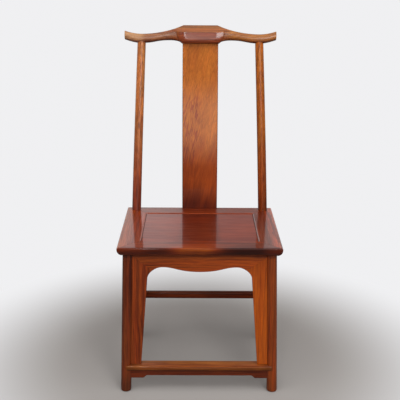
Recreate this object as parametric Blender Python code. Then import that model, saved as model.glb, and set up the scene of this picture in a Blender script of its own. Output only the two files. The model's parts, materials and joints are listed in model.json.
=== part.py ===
"""Lamp-hanger chair: a yoke-backed side chair of solid rosewood, joined with tenons, tongues and mitres.

Metres, +Z up, and the chair faces -Y. The seat frame is modelled round the Z axis, and the assembly
empty then moves every piece so that the origin lies on the floor under the middle of the whole chair.
"""

import math
from collections import namedtuple

import bmesh
import bpy
import numpy as np
from mathutils import Matrix, Vector
from mathutils.geometry import interpolate_bezier

# Fits
FIT = 0.0003
WELD = 0.00001

# Seat frame and its panel
SEAT_WIDTH = 0.500
SEAT_DEPTH = 0.412
SEAT_HEIGHT = 0.494
RAIL_WIDTH = 0.069
RAIL_THICKNESS = 0.027
EDGE_ARRIS = 0.003
EDGE_INSET = 0.013
INNER_ARRIS = 0.0025
PANEL_SINK = 0.002
PANEL_THICKNESS = 0.012
PANEL_TONGUE_DEPTH = 0.007
PANEL_TONGUE_THICKNESS = 0.005
BATTEN_WIDTH = 0.030
BATTEN_HEIGHT = 0.012
BATTEN_SPACING = 0.180
BATTEN_TENON_LENGTH = 0.010
DOVETAIL_HEIGHT = 0.004
DOVETAIL_NECK = 0.016
DOVETAIL_HEAD = 0.020
CORNER_TENON_THICKNESS = 0.007
CORNER_TENON_WALL = 0.002
CORNER_TENON_COVER = 0.015

# Legs and back posts
LEG_TOP_RADIUS = 0.0160
FOOT_RADIUS = 0.0165
POST_SEAT_RADIUS = 0.0153
POST_TOP_RADIUS = 0.0139
LEG_INSET_SIDE = 0.031
LEG_INSET_FRONT = 0.035
POST_INSET = 0.026
SPLAY_SIDE = math.radians(1.8)
SPLAY_FRONT = math.radians(0.6)
SPLAY_BACK = math.radians(0.6)
LEG_TENON_WIDTH = 0.014
LEG_TENON_HEIGHT = 0.012
LEG_SIDES = 24
POST_CONVERGENCE = math.radians(2.2)
POST_ROOT = 0.025
POST_TENON_WIDTH = 0.011
POST_TENON_HEIGHT = 0.012

# Back: its height is from the seat to the underside of the crest at the posts
BACK_HEIGHT = 0.561
BACK_LEAN = 0.070
BACK_SLOPE_SEAT = 0.02
BACK_SLOPE_TOP = 0.20
SPLAT_WIDTH = 0.120
SPLAT_THICKNESS = 0.011
SPLAT_INSET = 0.011
SPLAT_TONGUE_THICKNESS = 0.005
SPLAT_TONGUE_SHOULDER = 0.010
SPLAT_TONGUE_DEPTH = 0.011

# Crest rail: heights are above the underside at the posts
CREST_OVERHANG = 0.056
CREST_THICKNESS = 0.0302
CREST_DEPTH = 0.029
CREST_BOW = 0.015
CREST_END_SWEEP = 0.004
CREST_END_RISE = 0.0109
CREST_END_THICKNESS = 0.029
CREST_NECK_RISE = 0.0083
HEADREST_HALF_WIDTH = 0.057
HEADREST_TOP = 0.0572
HEADREST_BOTTOM = -0.0021
HEADREST_DEPTH = 0.032
HEADREST_SHOULDER = 0.048
HEADREST_FRONT_HALF_WIDTH = 0.080
HEADREST_FRONT_PROUD = 0.0055
HEADREST_FRONT_ROUNDING = 0.018
HEADREST_FRONT_CORNER = 0.027
HEADREST_FRONT_MARGIN = 0.0015
HEADREST_RIDGE_BACK = 0.0085
HEADREST_RIDGE_DROP = 0.0011
HEADREST_FACET_TILT = math.radians(33)
CREST_SIDES = 20

# Aprons: heights are below the seat frame, and widths are from the surface of the leg
APRON_THICKNESS = 0.012
APRON_ARRIS = 0.0015
APRON_TONGUE_THICKNESS = 0.004
APRON_TONGUE_DEPTH = 0.004
ARCH_PEAK_HEIGHT = 0.0453
ARCH_MIDDLE_HEIGHT = 0.0606
ARCH_SHOULDER = 0.047
ARCH_CORNER_HEIGHT = 0.082
ARCH_SIDE_TOP_WIDTH = 0.0447
ARCH_SIDE_BOTTOM_WIDTH = 0.0307
SIDE_APRON_HEIGHT = 0.042
SIDE_APRON_CORNER_HEIGHT = 0.072
SIDE_APRON_SHOULDER = 0.030
SIDE_APRON_SIDE_WIDTH = 0.024
BACK_APRON_HEIGHT = 0.042

# Stretchers: each side one stands a step above the footrest, and the back one a step above those
FOOTREST_TOP = 0.093
FOOTREST_DEPTH = 0.040
FOOTREST_THICKNESS = 0.017
FOOTREST_PROUD = 0.002
FOOTREST_ROUNDING = 0.005
FOOTREST_APRON_SETBACK = 0.010
FOOTREST_APRON_THICKNESS = 0.010
FOOTREST_APRON_HEIGHT = 0.021
FOOTREST_APRON_END_HEIGHT = 0.030
FOOTREST_APRON_END_LENGTH = 0.051
STRETCHER_STEP = 0.040
STRETCHER_WIDTH = 0.020
STRETCHER_HEIGHT = 0.026
STRETCHER_TENON_WIDTH = 0.010
STRETCHER_TENON_DEPTH = 0.011
STRETCHER_SIDES = 20

# Finish, as linear colours
ROSEWOOD = (0.235, 0.060, 0.022)
ROSEWOOD_DARK = (0.125, 0.026, 0.012)
ROSEWOOD_LIGHT = (0.300, 0.090, 0.025)
LACQUER_ROUGHNESS = 0.22

# Levels and places that follow from the sizes above
FRAME_BOTTOM = SEAT_HEIGHT - RAIL_THICKNESS
CREST_LEVEL = SEAT_HEIGHT + BACK_HEIGHT
FRONT_LEG_Y = -SEAT_DEPTH / 2 + LEG_INSET_FRONT
POST_Y = SEAT_DEPTH / 2 - POST_INSET
SPLAT_Y = SEAT_DEPTH / 2 - SPLAT_INSET
LEG_X = SEAT_WIDTH / 2 - LEG_INSET_SIDE
POST_TOP_X = LEG_X - (CREST_LEVEL - FRAME_BOTTOM) * math.tan(POST_CONVERGENCE)
CREST_HALF = POST_TOP_X + CREST_OVERHANG
SIDE_STRETCHER_Z = FOOTREST_TOP + STRETCHER_STEP
BACK_STRETCHER_Z = SIDE_STRETCHER_Z + STRETCHER_STEP
PANEL_TOP = SEAT_HEIGHT - PANEL_SINK
PANEL_BOTTOM = PANEL_TOP - PANEL_THICKNESS
SIDES = {"left": -1, "right": 1}


# Scene

for old in list(bpy.data.objects):
    bpy.data.objects.remove(old, do_unlink=True)

PARTS = bpy.data.collections.new("lamp_hanger_chair")
CUTTERS = bpy.data.collections.new("lamp_hanger_chair_cutters")
for collection in (PARTS, CUTTERS):
    bpy.context.scene.collection.children.link(collection)
ASSEMBLY = bpy.data.objects.new("assembly", None)
PARTS.objects.link(ASSEMBLY)


def wood(name, colour):
    """A lacquered wood of one colour."""
    material = bpy.data.materials.new(name)
    material.use_nodes = True
    shader = material.node_tree.nodes["Principled BSDF"]
    shader.inputs["Base Color"].default_value = (*colour, 1.0)
    shader.inputs["Roughness"].default_value = LACQUER_ROUGHNESS
    shader.inputs["Metallic"].default_value = 0.0
    return material


def part(name, mesh, colour=ROSEWOOD):
    """A piece of the chair, with its own material."""
    obj = bpy.data.objects.new(name, mesh)
    obj.data.materials.append(wood(name, colour))
    mesh.shade_smooth()
    mesh.set_sharp_from_angle(angle=math.radians(35))
    obj.parent = ASSEMBLY
    PARTS.objects.link(obj)
    return obj


def tool(name, mesh):
    """A hidden solid that is cut from a piece or joined to it."""
    obj = bpy.data.objects.new(name, mesh)
    obj.hide_render = True
    obj.display_type = "WIRE"
    obj.parent = ASSEMBLY
    CUTTERS.objects.link(obj)
    return obj


def combine(target, other, operation):
    modifier = target.modifiers.new(operation.title() + "_" + other.name, "BOOLEAN")
    modifier.operation = operation
    modifier.solver = "EXACT"
    modifier.object = other


def cut(target, other):
    combine(target, other, "DIFFERENCE")


def add(target, other):
    combine(target, other, "UNION")


# Solids

def finished(shape, matrix=None):
    """The bmesh as a mesh, moved by a matrix."""
    if matrix is not None:
        bmesh.ops.transform(shape, matrix=matrix, verts=shape.verts)
    bmesh.ops.recalc_face_normals(shape, faces=shape.faces)
    mesh = bpy.data.meshes.new("solid")
    shape.to_mesh(mesh)
    shape.free()
    return mesh


def box(size, matrix):
    """A box of that size, centred on the matrix."""
    shape = bmesh.new()
    bmesh.ops.create_cube(shape, size=1.0)
    return finished(shape, matrix @ Matrix.Diagonal((*size, 1.0)))


def frustum(bottom, bottom_radius, top, top_radius):
    """A round leg with level ends, leaning from one centre to the other."""
    shape = bmesh.new()
    bmesh.ops.create_cone(
        shape, cap_ends=True, segments=LEG_SIDES, radius1=bottom_radius, radius2=top_radius, depth=1.0
    )
    middle = (bottom + top) / 2
    rise = top - bottom
    rows = ((1, 0, rise.x, middle.x), (0, 1, rise.y, middle.y), (0, 0, rise.z, middle.z), (0, 0, 0, 1))
    return finished(shape, Matrix(rows))


def oval_bar(start, end, width, height):
    """A straight bar of oval section between two points at one height."""
    shape = bmesh.new()
    bmesh.ops.create_cone(
        shape, cap_ends=True, segments=STRETCHER_SIDES, radius1=0.5, radius2=0.5, depth=1.0
    )
    along = end - start
    across = Vector((0, 0, 1)).cross(along).normalized() * width
    up = Vector((0, 0, height))
    columns = Matrix((across, up, along)).transposed().to_4x4()
    return finished(shape, Matrix.Translation((start + end) / 2) @ columns)


def curve_shape(curve):
    """The solid of a curve, with its caps welded on, as a bmesh."""
    carrier = bpy.data.objects.new("carrier", curve)
    bpy.context.scene.collection.objects.link(carrier)
    graph = bpy.context.evaluated_depsgraph_get()
    mesh = bpy.data.meshes.new_from_object(carrier.evaluated_get(graph))
    bpy.data.objects.remove(carrier)
    bpy.data.curves.remove(curve)
    shape = bmesh.new()
    shape.from_mesh(mesh)
    bpy.data.meshes.remove(mesh)
    bmesh.ops.remove_doubles(shape, verts=shape.verts, dist=WELD)
    return shape


def plate(outline, thickness, arris=0.0):
    """A flat outline in local XY, thickened evenly about it along local Z, as a bmesh."""
    curve = bpy.data.curves.new("outline", "CURVE")
    curve.dimensions = "2D"
    curve.fill_mode = "BOTH"
    curve.extrude = thickness / 2 - arris
    curve.bevel_depth = arris
    curve.bevel_resolution = 0
    curve.offset = -arris
    spline = curve.splines.new("POLY")
    spline.points.add(len(outline) - 1)
    for point, place in zip(spline.points, outline):
        point.co = (place[0], place[1], 0, 1)
    spline.use_cyclic_u = True
    return curve_shape(curve)


def tube(points, radii):
    """A round rod along a line of points, with a radius at each."""
    curve = bpy.data.curves.new("rod", "CURVE")
    curve.dimensions = "3D"
    curve.bevel_depth = 1.0
    curve.bevel_resolution = LEG_SIDES // 2 - 2
    curve.use_fill_caps = True
    spline = curve.splines.new("POLY")
    spline.points.add(len(points) - 1)
    for point, place, radius in zip(spline.points, points, radii):
        point.co = (*place, 1)
        point.radius = radius
    return finished(curve_shape(curve))


def loft(rings):
    """A solid through rings of equal counts of points, closed at both ends."""
    shape = bmesh.new()
    loops = [[shape.verts.new(point) for point in ring] for ring in rings]
    count = len(loops[0])
    for near, far in zip(loops, loops[1:]):
        for i in range(count):
            j = (i + 1) % count
            shape.faces.new((near[i], near[j], far[j], far[i]))
    shape.faces.new(loops[0])
    shape.faces.new(loops[-1])
    return finished(shape)


def trim(shape, point, normal):
    """Takes away what lies past a plane, on the side that its normal points to, and closes the cut."""
    everything = shape.verts[:] + shape.edges[:] + shape.faces[:]
    result = bmesh.ops.bisect_plane(
        shape, geom=everything, plane_co=point, plane_no=normal, clear_outer=True, dist=WELD / 10
    )
    edges = [item for item in result["geom_cut"] if isinstance(item, bmesh.types.BMEdge)]
    bmesh.ops.edgeloop_fill(shape, edges=edges)


def bezier(start, start_handle, end_handle, end, count):
    """Points along a bezier stretch, without its first point."""
    flat = [Vector((*place, 0)) for place in (start, start_handle, end_handle, end)]
    return [(point.x, point.y) for point in interpolate_bezier(*flat, count + 1)[1:]]


def smooth(t):
    t = min(max(t, 0.0), 1.0)
    return t * t * (3 - 2 * t)


def tenon(piece, hosts, size, matrix):
    """A tenon or tongue that grows out of a piece, and the mortise or groove for it in each host."""
    add(piece, tool(piece.name + "_tenon", box(size, matrix)))
    mortise = tool(piece.name + "_mortise", box([side + 2 * FIT for side in size], matrix))
    for host in hosts:
        cut(host, mortise)


# Legs and posts

def leg_centre(side, end, z):
    """Where the axis of a leg is, below the seat, at a height."""
    down = FRAME_BOTTOM - z
    x = LEG_X + down * math.tan(SPLAY_SIDE)
    if end == "front":
        y = FRONT_LEG_Y - down * math.tan(SPLAY_FRONT)
    else:
        y = POST_Y + down * math.tan(SPLAY_BACK)
    return Vector((SIDES[side] * x, y, z))


def leg_radius(z):
    return FOOT_RADIUS + (LEG_TOP_RADIUS - FOOT_RADIUS) * z / FRAME_BOTTOM


def leg_solid(side, end, grow=0.0):
    """The part of a leg below the seat, or with grow the space that its neighbours leave for it."""
    foot = leg_centre(side, end, -grow)
    head = leg_centre(side, end, FRAME_BOTTOM - FIT + grow)
    return frustum(foot, FOOT_RADIUS + grow, head, LEG_TOP_RADIUS + grow)


def lean(z, distance):
    """How far the back has leaned at a height: upright at the seat, most inclined at the crest."""
    t = max((z - SEAT_HEIGHT) / BACK_HEIGHT, 0.0)
    rise = distance * (3 * t**2 - 2 * t**3)
    return rise + BACK_HEIGHT * (BACK_SLOPE_SEAT * (t - 2 * t**2 + t**3) + BACK_SLOPE_TOP * (t**3 - t**2))


def post_solid(side, grow=0.0):
    """The back post, from inside the leg to inside the crest."""
    count = 14
    low = FRAME_BOTTOM - POST_ROOT
    high = CREST_LEVEL + CREST_THICKNESS / 2
    points = []
    radii = []
    for i in range(count):
        z = low + (high - low) * i / (count - 1)
        x = LEG_X - (z - FRAME_BOTTOM) * math.tan(POST_CONVERGENCE)
        points.append((SIDES[side] * x, POST_Y + lean(z, BACK_LEAN), z))
        share = (z - FRAME_BOTTOM) / (CREST_LEVEL - FRAME_BOTTOM)
        radii.append(POST_SEAT_RADIUS + (POST_TOP_RADIUS - POST_SEAT_RADIUS) * share + grow)
    return tube(points, radii)


# Crest rail

def crest_contours():
    """The top and bottom edges of the crest's right half, from middle to end, as (x, height) points."""
    ridge = (HEADREST_HALF_WIDTH, HEADREST_TOP)
    post_top = (POST_TOP_X, CREST_THICKNESS)
    end_top = (CREST_HALF, CREST_END_RISE + CREST_END_THICKNESS)
    arm = POST_TOP_X - HEADREST_HALF_WIDTH
    top = [(0.0, HEADREST_TOP), ridge]
    fall = (ridge[0] + 0.22 * arm, ridge[1] - 0.48 * (ridge[1] - post_top[1]))
    top += bezier(ridge, fall, (post_top[0] - 0.43 * arm, post_top[1]), post_top, 10)
    lift = (end_top[0] - 0.26 * CREST_OVERHANG, end_top[1] - 0.56 * (end_top[1] - post_top[1]))
    top += bezier(post_top, (post_top[0] + 0.36 * CREST_OVERHANG, post_top[1]), lift, end_top, 6)

    lower_corner = (HEADREST_HALF_WIDTH + 0.0055, HEADREST_BOTTOM)
    neck = (HEADREST_HALF_WIDTH + HEADREST_SHOULDER, CREST_NECK_RISE)
    post_bottom = (POST_TOP_X, 0.0)
    end_bottom = (CREST_HALF, CREST_END_RISE)
    half = (neck[0] + post_bottom[0]) / 2
    bottom = [(0.0, HEADREST_BOTTOM), lower_corner]
    steep = (lower_corner[0] + 0.09 * HEADREST_SHOULDER, 0.72 * CREST_NECK_RISE)
    bottom += bezier(lower_corner, steep, (neck[0] - 0.42 * HEADREST_SHOULDER, neck[1]), neck, 7)
    bottom += bezier(neck, (half, neck[1]), (half, 0.0), post_bottom, 6)
    rise = (end_bottom[0] - 0.26 * CREST_OVERHANG, 0.63 * CREST_END_RISE)
    bottom += bezier(post_bottom, (post_bottom[0] + 0.44 * CREST_OVERHANG, 0.0), rise, end_bottom, 6)
    return top, bottom


def crest_middle(x):
    """How far back the crest's centre line lies at a distance from the middle."""
    base = POST_Y + lean(CREST_LEVEL, BACK_LEAN)
    inward = (x - HEADREST_HALF_WIDTH) / (POST_TOP_X - HEADREST_HALF_WIDTH)
    outward = max((x - POST_TOP_X) / CREST_OVERHANG, 0.0)
    return base + CREST_BOW * (1 - smooth(inward)) + CREST_END_SWEEP * outward**2


def headrest_reach(height):
    """Half the width of the headrest's raised front at a height: it narrows to the splat at its bottom."""
    share = min(max((height - HEADREST_BOTTOM) / HEADREST_FRONT_CORNER, 0.0), 1.0)
    narrow = SPLAT_WIDTH / 2 + HEADREST_FRONT_MARGIN
    return narrow + (HEADREST_FRONT_HALF_WIDTH - narrow) * share**0.7


def headrest_front(x, height):
    """How far the raised front stands out: full in the middle and rounded off to a crease at its ends."""
    past = (x - headrest_reach(height)) / HEADREST_FRONT_ROUNDING + 1
    if past >= 1:
        return 0.0
    return HEADREST_FRONT_PROUD * math.sqrt(1 - max(past, 0.0) ** 2)


def crest_ring(x, top, bottom, side, grow):
    """A section of the crest: round in the arms, squarer in the headrest."""
    headrest = 1 - smooth((x - HEADREST_HALF_WIDTH) / HEADREST_SHOULDER)
    half_depth = (CREST_DEPTH + (HEADREST_DEPTH - CREST_DEPTH) * headrest) / 2 + grow
    half_height = (top - bottom) / 2 + grow
    power = 2 / (2.1 + 0.9 * headrest)
    ring = []
    for i in range(CREST_SIDES):
        angle = 2 * math.pi * (i + 0.5) / CREST_SIDES
        across = math.copysign(abs(math.cos(angle)) ** power, math.cos(angle))
        up = math.copysign(abs(math.sin(angle)) ** power, math.sin(angle))
        height = (top + bottom) / 2 + half_height * up
        depth = half_depth + headrest_front(x, height) if across < 0 else half_depth
        ring.append((side * x, crest_middle(x) + depth * across, CREST_LEVEL + height))
    return ring


def crest_solid(grow=0.0):
    top, bottom = crest_contours()
    top_x, top_z = zip(*top)
    bottom_x, bottom_z = zip(*bottom)
    rounding = [HEADREST_FRONT_ROUNDING * math.sin(math.pi / 2 * i / 5) for i in range(1, 6)]
    front_x = {HEADREST_FRONT_HALF_WIDTH - HEADREST_FRONT_ROUNDING + step for step in rounding}
    stations = sorted(set(bottom_x) | front_x | {HEADREST_HALF_WIDTH})
    rings = []
    for side, places in ((-1, stations[::-1]), (1, stations[1:])):
        for x in places:
            upper = float(np.interp(x, top_x, top_z))
            lower = float(np.interp(x, bottom_x, bottom_z))
            rings.append(crest_ring(x, upper, lower, side, grow))
    return loft(rings)


def crest_rail():
    """The yoke, with the slanted facet shaved off the top of its headrest."""
    crest = part("crest_rail", crest_solid(), ROSEWOOD)
    block = (2 * (HEADREST_HALF_WIDTH + HEADREST_SHOULDER), 4 * HEADREST_DEPTH, HEADREST_DEPTH)
    ridge_level = CREST_LEVEL + HEADREST_TOP - HEADREST_RIDGE_DROP
    ridge = Vector((0, crest_middle(0) + HEADREST_RIDGE_BACK, ridge_level))
    facet = Matrix.Translation(ridge) @ Matrix.Rotation(HEADREST_FACET_TILT, 4, "X")
    cut(crest, tool("headrest_facet", box(block, facet @ Matrix.Translation((0, 0, HEADREST_DEPTH / 2)))))
    return crest


# Seat frame

def rail_outline():
    """Section of a seat rail: inward from its moulded outer edge, and down from its top."""
    outline = [(RAIL_WIDTH, -RAIL_THICKNESS), (RAIL_WIDTH, -INNER_ARRIS)]
    outline += bezier(
        (RAIL_WIDTH, -INNER_ARRIS),
        (RAIL_WIDTH, -0.45 * INNER_ARRIS),
        (RAIL_WIDTH - 0.55 * INNER_ARRIS, 0.0),
        (RAIL_WIDTH - INNER_ARRIS, 0.0),
        2,
    )
    outline.append((EDGE_ARRIS, 0.0))
    outline += bezier(
        (EDGE_ARRIS, 0.0),
        (0.45 * EDGE_ARRIS, 0.0),
        (0.0, -0.45 * EDGE_ARRIS),
        (0.0, -EDGE_ARRIS),
        3,
    )
    belly = RAIL_THICKNESS - EDGE_ARRIS
    outline += bezier(
        (0.0, -EDGE_ARRIS),
        (0.0, -EDGE_ARRIS - 0.38 * belly),
        (0.35 * EDGE_INSET, -EDGE_ARRIS - 0.75 * belly),
        (EDGE_INSET, -RAIL_THICKNESS),
        7,
    )
    return outline


def seat_rail(name, length, inward, outer_edge, colour):
    """A mitred rail of the seat frame. Inward is the level direction from its outer edge to the panel."""
    shape = plate(rail_outline(), length)
    for end in (-1, 1):
        corner = Vector((-FIT / 2, 0, end * length / 2))
        trim(shape, corner, Vector((1, 0, end)))
    along = inward.cross(Vector((0, 0, 1)))
    columns = Matrix((inward, Vector((0, 0, 1)), along)).transposed().to_4x4()
    origin = -inward * outer_edge + Vector((0, 0, SEAT_HEIGHT))
    return part(name, finished(shape, Matrix.Translation(origin) @ columns), colour)


def corner_tenons(rails):
    """The long rails' tenons, which pass inside the legs into the short rails, below the panel's groove."""
    rear_leg = POST_INSET + POST_SEAT_RADIUS
    front_leg = LEG_INSET_FRONT + LEG_TENON_WIDTH / 2
    near = max(rear_leg, front_leg) + CORNER_TENON_WALL
    far = RAIL_WIDTH - CORNER_TENON_WALL
    groove_bottom = PANEL_TOP - (PANEL_THICKNESS + PANEL_TONGUE_THICKNESS) / 2
    z = groove_bottom - CORNER_TENON_WALL - CORNER_TENON_THICKNESS / 2
    root = SEAT_WIDTH / 2 - RAIL_WIDTH - CORNER_TENON_COVER
    tip = SEAT_WIDTH / 2 - CORNER_TENON_COVER
    size = (tip - root, far - near, CORNER_TENON_THICKNESS)
    for end, direction in (("front", -1), ("back", 1)):
        for side, sign in SIDES.items():
            centre = (sign * (root + tip) / 2, direction * (SEAT_DEPTH - near - far) / 2, z)
            tenon(rails[end], [rails[side]], size, Matrix.Translation(centre))


def seat_frame():
    rails = {}
    for name, direction in (("front", 1), ("back", -1)):
        inward = Vector((0, direction, 0))
        rails[name] = seat_rail("seat_rail_" + name, SEAT_WIDTH, inward, SEAT_DEPTH / 2, ROSEWOOD)
    for name, sign in SIDES.items():
        inward = Vector((-sign, 0, 0))
        rails[name] = seat_rail("seat_rail_" + name, SEAT_DEPTH, inward, SEAT_WIDTH / 2, ROSEWOOD)
    return rails


def dovetail(neck, head, height):
    """Outline of a batten's dovetailed key, standing on local Y = 0."""
    return [(neck / 2, 0.0), (head / 2, height), (-head / 2, height), (-neck / 2, 0.0)]


def seat_panel(rails):
    """The floating panel, its tongue in the rails' grooves, and the battens that keep it flat."""
    opening = (SEAT_WIDTH - 2 * RAIL_WIDTH, SEAT_DEPTH - 2 * RAIL_WIDTH)
    centre = Matrix.Translation((0, 0, PANEL_TOP - PANEL_THICKNESS / 2))
    size = (opening[0] - 2 * FIT, opening[1] - 2 * FIT, PANEL_THICKNESS)
    panel = part("seat_panel", box(size, centre), ROSEWOOD_DARK)
    reach = 2 * PANEL_TONGUE_DEPTH
    tongue = (opening[0] + reach, opening[1] + reach, PANEL_TONGUE_THICKNESS)
    tenon(panel, rails.values(), tongue, centre)

    length = opening[1] - 2 * FIT
    turned = Matrix.Rotation(math.radians(90), 4, "X")
    for side, sign in SIDES.items():
        top = Matrix.Translation((sign * BATTEN_SPACING / 2, 0, PANEL_BOTTOM - FIT))
        key = dovetail(DOVETAIL_NECK, DOVETAIL_HEAD, DOVETAIL_HEIGHT)
        half = BATTEN_WIDTH / 2
        outline = [(-half, 0.0), (-half, -BATTEN_HEIGHT), (half, -BATTEN_HEIGHT), (half, 0.0), *key]
        batten = part("panel_batten_" + side, finished(plate(outline, length), top @ turned))
        spare = 4 * FIT
        groove = dovetail(DOVETAIL_NECK + spare, DOVETAIL_HEAD + spare, DOVETAIL_HEIGHT + 2 * FIT)
        groove += [(-half, 0.0), (-half, -BATTEN_HEIGHT), (half, -BATTEN_HEIGHT), (half, 0.0)]
        cut(panel, tool("dovetail_groove_" + side, finished(plate(groove, SEAT_DEPTH), top @ turned)))
        size = (BATTEN_WIDTH / 2, length + 2 * BATTEN_TENON_LENGTH, BATTEN_HEIGHT / 2)
        lowered = top @ Matrix.Translation((0, 0, -BATTEN_HEIGHT / 2))
        tenon(batten, [rails["front"], rails["back"]], size, lowered)


# Aprons

Face = namedtuple("Face", "frame half_span splay legs")
ApronForm = namedtuple(
    "ApronForm", "peak_height middle_height corner_height shoulder top_width bottom_width"
)


def face_frame(outward, distance, along, tilt):
    """Frame of one face of the base: X to the right seen from outside, Y up along the legs, Z outward.

    Its origin is on the plane of the leg axes, at the underside of the seat frame.
    """
    up = Vector((0, 0, 1)) * math.cos(tilt) - outward * math.sin(tilt)
    across = Vector((0, 0, 1)).cross(outward)
    columns = Matrix((across, up, across.cross(up))).transposed().to_4x4()
    origin = outward * distance + across * along + Vector((0, 0, FRAME_BOTTOM))
    return Matrix.Translation(origin) @ columns


def base_faces():
    """The four faces of the base, each with its legs as seen from outside."""
    half_depth = (POST_Y - FRONT_LEG_Y) / 2
    middle = (POST_Y + FRONT_LEG_Y) / 2
    front = face_frame(Vector((0, -1, 0)), -FRONT_LEG_Y, 0.0, SPLAY_FRONT)
    back = face_frame(Vector((0, 1, 0)), POST_Y, 0.0, SPLAY_BACK)
    left = face_frame(Vector((-1, 0, 0)), LEG_X, -middle, SPLAY_SIDE)
    right = face_frame(Vector((1, 0, 0)), LEG_X, middle, SPLAY_SIDE)
    return {
        "front": Face(front, LEG_X, SPLAY_SIDE, {"left": ("left", "front"), "right": ("right", "front")}),
        "back": Face(back, LEG_X, SPLAY_SIDE, {"left": ("right", "rear"), "right": ("left", "rear")}),
        "left": Face(left, half_depth, SPLAY_FRONT, {"left": ("left", "rear"), "right": ("left", "front")}),
        "right": Face(
            right, half_depth, SPLAY_FRONT, {"left": ("right", "front"), "right": ("right", "rear")}
        ),
    }


def leg_line(face, height):
    """How far the axis of a face's legs is from its middle, at a height below the seat frame."""
    return face.half_span + height * math.tan(face.splay)


def arch(face, bottom, form):
    """Inner edge of a three-board apron, from the foot of its left board to that of its right one.

    The second result is the point of the right corner where the mitre starts.
    """
    def inner(height, width):
        return leg_line(face, height) - leg_radius(FRAME_BOTTOM - height) - width

    foot = (inner(bottom, form.bottom_width), -bottom)
    corner = (inner(form.corner_height, form.top_width), -form.corner_height)
    peak = (corner[0] - form.shoulder, -form.peak_height)
    rise = form.corner_height - form.peak_height
    slant = (foot[0] - corner[0]) / (bottom - form.corner_height)
    rising = (corner[0] - 0.46 * rise * slant, corner[1] + 0.46 * rise)
    round_corner = bezier(corner, rising, (peak[0] + 0.49 * form.shoulder, peak[1]), peak, 8)
    right = [foot, corner, *round_corner]
    middle = []
    if form.middle_height != form.peak_height:
        low = (0.0, -form.middle_height)
        *wave, lowest = bezier(peak, (0.66 * peak[0], peak[1]), (0.57 * peak[0], low[1]), low, 8)
        right += wave
        middle = [lowest]
    left = [(-x, y) for x, y in right]
    return left + middle + right[::-1], round_corner[3]


def apron_boards(face, bottom, form):
    """The top board and the two side boards of an apron, split at their mitres, as bmeshes."""
    inner, turn = arch(face, bottom, form)
    half_bottom = leg_line(face, bottom)
    half_top = face.half_span
    outline = [(-half_top, -FIT), (-half_bottom, -bottom), *inner, (half_bottom, -bottom), (half_top, -FIT)]
    boards = {}
    for place in ("top", *SIDES):
        shape = plate(outline, APRON_THICKNESS, APRON_ARRIS)
        for side, sign in SIDES.items():
            mitre = Vector((sign * (half_top - turn[0]), -turn[1], 0))
            towards_top = Vector((-sign * mitre.y, sign * mitre.x, 0)).normalized()
            point = Vector((sign * turn[0], turn[1], 0))
            if place == "top":
                trim(shape, point + towards_top * FIT / 2, -towards_top)
            elif place == side:
                trim(shape, point - towards_top * FIT / 2, towards_top)
                trim(shape, Vector((0, 0, 0)), Vector((-sign, 0, 0)))
        boards[place] = shape
    return boards


def leg_tongue(board, leg, face, sign, top, bottom):
    """A tongue along a board's outer edge and the groove for it down the leg."""
    middle = (top + bottom) / 2
    root = 2 * APRON_TONGUE_DEPTH
    surface = leg_line(face, middle) - leg_radius(FRAME_BOTTOM - middle)
    centre = Matrix.Translation((sign * (surface + (APRON_TONGUE_DEPTH - root) / 2), -middle, 0))
    size = (APRON_TONGUE_DEPTH + root, bottom - top, APRON_TONGUE_THICKNESS)
    tenon(board, [leg], size, face.frame @ centre @ Matrix.Rotation(sign * face.splay, 4, "Z"))


def rail_tongue(board, rail, face):
    """A tongue along a board's top edge and the groove for it under the seat rail."""
    length = 2 * (face.half_span - 3 * LEG_TOP_RADIUS)
    centre = face.frame @ Matrix.Translation((0, -APRON_TONGUE_DEPTH / 2, 0))
    tenon(board, [rail], (length, 3 * APRON_TONGUE_DEPTH, APRON_TONGUE_THICKNESS), centre)


def three_board_apron(names, face, rail, legs, leg_spaces, form, bottom, foot_space=None):
    """A top board and two side boards, scribed to the round legs and tongued into them and the rail."""
    for place, shape in apron_boards(face, bottom, form).items():
        board = part(names[place], finished(shape, face.frame))
        for side, key in face.legs.items():
            if place in ("top", side):
                cut(board, leg_spaces[key])
        if place == "top":
            rail_tongue(board, rail, face)
            continue
        if foot_space is not None:
            cut(board, foot_space)
        low = bottom - (bottom - form.corner_height) / 8
        leg_tongue(board, legs[face.legs[place]], face, SIDES[place], form.corner_height, low)


def back_apron(face, rail, legs, leg_spaces):
    """A short straight board under the back rail, tongued into it and the rear legs."""
    half_bottom = leg_line(face, BACK_APRON_HEIGHT)
    half_top = face.half_span
    low = -BACK_APRON_HEIGHT
    outline = [(-half_top, -FIT), (-half_bottom, low), (half_bottom, low), (half_top, -FIT)]
    board = part("back_apron", finished(plate(outline, APRON_THICKNESS, APRON_ARRIS), face.frame))
    for key in face.legs.values():
        cut(board, leg_spaces[key])
    rail_tongue(board, rail, face)
    for side, key in face.legs.items():
        leg_tongue(board, legs[key], face, SIDES[side], BACK_APRON_HEIGHT / 4, 3 * BACK_APRON_HEIGHT / 4)


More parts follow.
